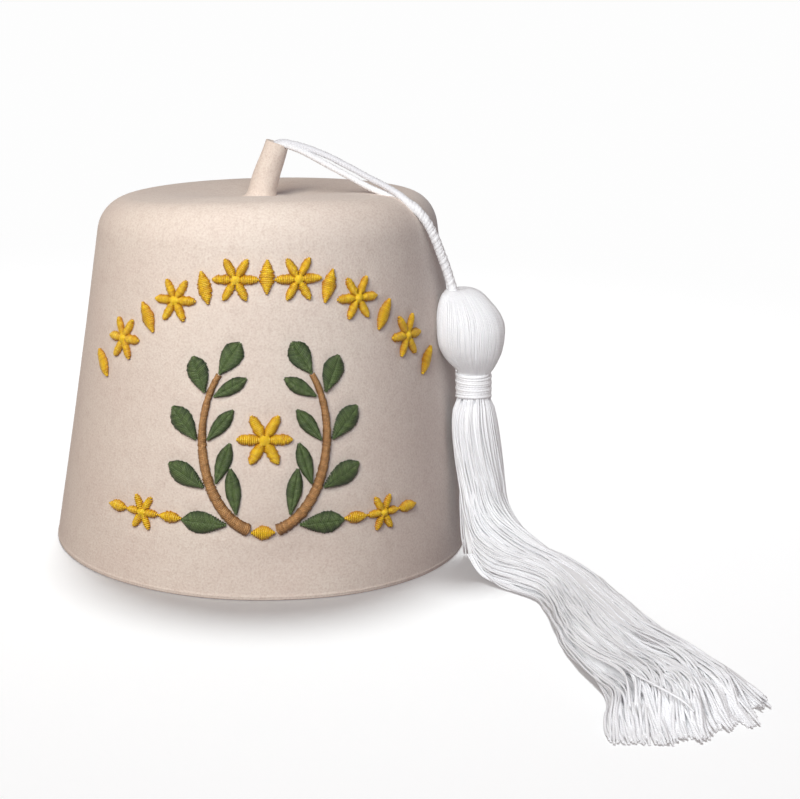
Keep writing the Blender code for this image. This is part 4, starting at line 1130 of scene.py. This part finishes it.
def skirtStrand(frames, frameRuns, spot, clump, phase, bend):
    # one strand: its share of the bundle, turned, gathered into its clump, waved and curled down
    s = skirtSizes
    side = spot[0] * math.cos(s["twist"]) - spot[1] * math.sin(s["twist"])
    spread = s["cutSpread"][1] * rng.normal() + s["cutSpread"][0] * bend[2]
    length = min(frameRuns[-1], np.interp(side, s["cutSides"], s["cutLengths"]) + spread)
    run = np.linspace(0, length, s["steps"])
    rows = atRuns(run, frameRuns, frames)
    t = run / s["length"]
    left = length - run
    turn = (s["twist"] * smoothStep(t, *s["twisting"])
            + s["swing"] * np.sin(s["swingPace"] * t + phase[0] * s["swingStart"]))
    gather = (s["gather"][0] * smoothStep(t, *s["gathering"])
              + s["gather"][1] * smoothStep(left, *s["gatherEnd"]))
    u0, v0 = [between(spot[k], clump[k], gather) for k in (0, 1)]
    own = rng.uniform(0, fullTurn, 2)
    waves = [size * np.sin(pace * t + start)
             for (size, pace), start in zip(s["waves"], (phase[1], own[0], phase[2], own[1]))]
    waving = smoothStep(t, *s["waving"])
    u = u0 * np.cos(turn) - v0 * np.sin(turn) + waving * (waves[0] + waves[1])
    v = u0 * np.sin(turn) + v0 * np.cos(turn) + waving * (waves[2] + waves[3])
    u += smoothStep(left, s["splayFrom"], 0.0) * (s["splay"][0] * bend[0] + s["splay"][1] * rng.normal())
    size = np.maximum(1, np.hypot(u, v) / s["fullest"])
    points, height = inBundle(rows, t, u / size, v / size)
    # the cut end rises a little, then curls down to the surface, each tuft over its own length
    curl = max(s["leastCurl"], s["curl"] + s["curlSpread"][0] * bend[1] + s["curlSpread"][1] * rng.normal())
    crest = np.exp(-((left - curl * s["crestPlace"]) / (curl * s["crestWidth"])) ** 2)
    crest *= s["crest"] * between(s["lowCrest"], 1.0, (height + 1) / 2)
    points[:, 2] += crest * (1 + s["crestSpread"] * bend[1]) * (1 - s["farCrest"] * max(0.0, side))
    drop = s["drop"][0] + s["drop"][1] * rng.uniform(-1, 1)
    drop *= 1 - s["farDrop"] * smoothStep(side, *s["farFrom"])
    points[:, 2] *= 1 - drop * (1 - smoothStep(left, 0.0, curl))
    thread = s["thread"] * (1 + s["threadSpread"] * rng.normal())
    lowest = thread + s["clear"] + s["ripple"] * np.sin(s["ripplePace"] * t + own[0])
    points[:, 2] = np.maximum(points[:, 2], lowest)
    points[0] -= rows[0, 12:] * s["start"]
    radius = thread * (between(s["thin"], 1.0, smoothStep(t, *s["thickening"]))
                       + s["flare"] * smoothStep(left, *s["flareFrom"]))
    radius[-1] *= s["tipTaper"]
    return points * mm, radius * mm, smoothStep(t, *s["loosening"])


def skirtCore(frames, frameRuns):
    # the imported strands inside, so that no light comes through the bundle
    s = skirtSizes
    lines = []
    for angle in evenAngles(s["coreSides"]):
        across, up = math.cos(angle), math.sin(angle)
        cut = np.interp(across, s["cutSides"], s["cutLengths"])
        run = np.linspace(s["coreStart"], cut - s["coreShort"], s["coreSteps"])
        t = run / s["length"]
        full = between(*s["core"], smoothStep(t, *s["coreLies"]))
        points, _ = inBundle(atRuns(run, frameRuns, frames), t, full * across, full * up)
        points[:, 2] *= 1 - s["coreDrop"] * (1 - smoothStep(cut - run, 0.0, s["curl"]))
        lines.append(points)
    return np.stack(lines, axis=1)


def makeSkirt():
    s = skirtSizes
    frames = skirtFrames()
    frameRuns = np.linspace(0, s["length"] + s["spare"], len(frames))
    spots = packDisc(s["strands"])
    owner, clumps = clumpsOf(spots)
    phases = rng.uniform(0, fullTurn, (s["clumps"], 4))
    bends = rng.normal(0, 1, (s["clumps"], 3))
    strands = [skirtStrand(frames, frameRuns, spot, clumps[k], phases[k], bends[k])
               for spot, k in zip(spots, owner)]
    groups = [strands[k::3] for k in range(3)]
    for count, route in looseStrands:
        line = smoothLine(route, s["steps"])
        for _ in range(count):
            slant, offset = rng.normal(0, s["looseSpread"], (2, 3)) * (1, 1, s["looseRise"])
            shifted = line + np.outer(np.linspace(-1, 1, len(line)), slant) + offset
            groups[0].append((shifted * mm, s["thread"] * mm, s["looseWander"]))
    pieces = []
    for k, group in enumerate(groups):
        lines, radii, loose = zip(*group)
        piece = growThreads(f"skirtStrands{'ABC'[k]}", lines, radii, rayon, s["sides"], loose,
                            rng.uniform(0.0, s["tone"], len(lines)), s["wander"] * mm,
                            s["wanderSize"] * mm, s["seed"] + k)
        movePoints(piece, lambda points: np.maximum(points, (-np.inf, -np.inf, s["floorGap"] * mm)))
        if k == 0:
            addCore(piece, skirtCore(frames, frameRuns))
        pieces.append(dress(piece, "white_rayon", "tassel"))
    return pieces


skirt = makeSkirt()
print("skirt strands:", sum(len(p.data.polygons) for p in skirt), "faces")

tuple(cordSizes["exit"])
[tuple(p) for p in cordLine]


# floor and light

stageSizes = {"half": 6.0, "bend": 1.4, "rise": 5.0, "start": 2.6, "near": 0.35, "far": 0.9,
              "glowNear": 0.24, "glowFar": 0.985, "paper": "#E3E7E8"}


def makeFloor():
    s = stageSizes
    profile = [(-s["half"], 0.0)]
    profile += [(s["start"] + s["bend"] * math.sin(a), s["bend"] * (1 - math.cos(a)))
                for a in np.radians(range(0, 91, 6))]
    profile.append((s["start"] + s["bend"], s["rise"]))
    points = [(side * s["half"], y, z) for y, z in profile for side in (-1, 1)]
    faces = [(2 * i, 2 * i + 1, 2 * i + 3, 2 * i + 2) for i in range(len(profile) - 1)]
    material, add = newMaterial("whiteSeamlessPaper")
    # the paper is evenly white: far out by its own glow, near the hat by a weaker glow and partly by the soft
    # light above
    place = add("ShaderNodeTexCoord").outputs["Object"]
    reach = add("ShaderNodeVectorMath", {0: place}, operation="LENGTH").outputs["Value"]
    far = add("ShaderNodeMapRange", {"Value": reach, "From Min": s["near"], "From Max": s["far"]},
              interpolation_type="SMOOTHSTEP")
    glow = add("ShaderNodeMapRange", {"Value": far, "To Min": s["glowNear"], "To Max": s["glowFar"]})
    paper = add("ShaderNodeMix", {0: far, 6: toLinear(s["paper"]), 7: (0, 0, 0, 1)}, data_type="RGBA")
    endMaterial(add, {"Base Color": paper, "Emission Color": (1, 1, 1, 1), "Emission Strength": glow,
                      "Roughness": 1.0, "Specular IOR Level": 0.0})
    sweep = newObject("paperSweep", points, (), faces, material)
    sweep.visible_diffuse = False
    return sweep


floor = makeFloor()

lights = {   # place, aim, size in metres, watts, colour, what it lights
    "key": ((-0.34, -0.62, 0.60), (0.0, 0.0, 0.08), 0.60, 5.65, "#FFFCF0", "felt"),
    "cool": ((0.48, 0.46, 0.12), (0.0, 0.0, 0.05), 0.35, 0.78, "#CCEFFF", "felt"),
    "front": ((0.00, -0.40, 0.33), (0.0, 0.0, 0.10), 0.30, 0.70, "#D8F0FF", "felt"),
    "white": ((-0.17, -0.86, 0.58), (0.10, -0.06, 0.05), 0.90, 11.3, "#F9FDFF", "threads"),
    "over": ((0.02, 0.60, 2.2), (0.0, 0.0, 0.0), 0.55, 45.5, "#FFFFFF", "paper"),
}
roomLight = {"colour": "#FFE0DC", "strength": 0.17}
litBy = {"felt": [crown, stalk, knots, goldPiece, greenPiece, brownPiece],
         "threads": [cord, head, winding] + skirt, "paper": [floor]}
for name, lit in litBy.items():
    litBy[name] = bpy.data.collections.new(name + "Lit")
    for piece in lit:
        litBy[name].objects.link(piece)
for name, (place, aim, size, watts, colour, lit) in lights.items():
    light = bpy.data.lights.new(name, "AREA")
    light.shape = "DISK"
    light.size = size
    light.energy = watts
    light.color = toLinear(colour)[:3]
    lamp = bpy.data.objects.new(name, light)
    lamp.location = place
    lamp.rotation_euler = (Vector(aim) - Vector(place)).to_track_quat("-Z", "Y").to_euler()
    lamp.visible_camera = False
    lamp.light_linking.receiver_collection = litBy[lit]
    bpy.context.scene.collection.objects.link(lamp)

world = bpy.data.worlds.new("studio")
world.use_nodes = True
background = world.node_tree.nodes["Background"]
background.inputs["Color"].default_value = toLinear(roomLight["colour"])
background.inputs["Strength"].default_value = roomLight["strength"]
bpy.context.scene.world = world
bpy.context.scene.view_settings.view_transform = "Standard"
bpy.context.scene.view_settings.look = "None"
print("stage lit")
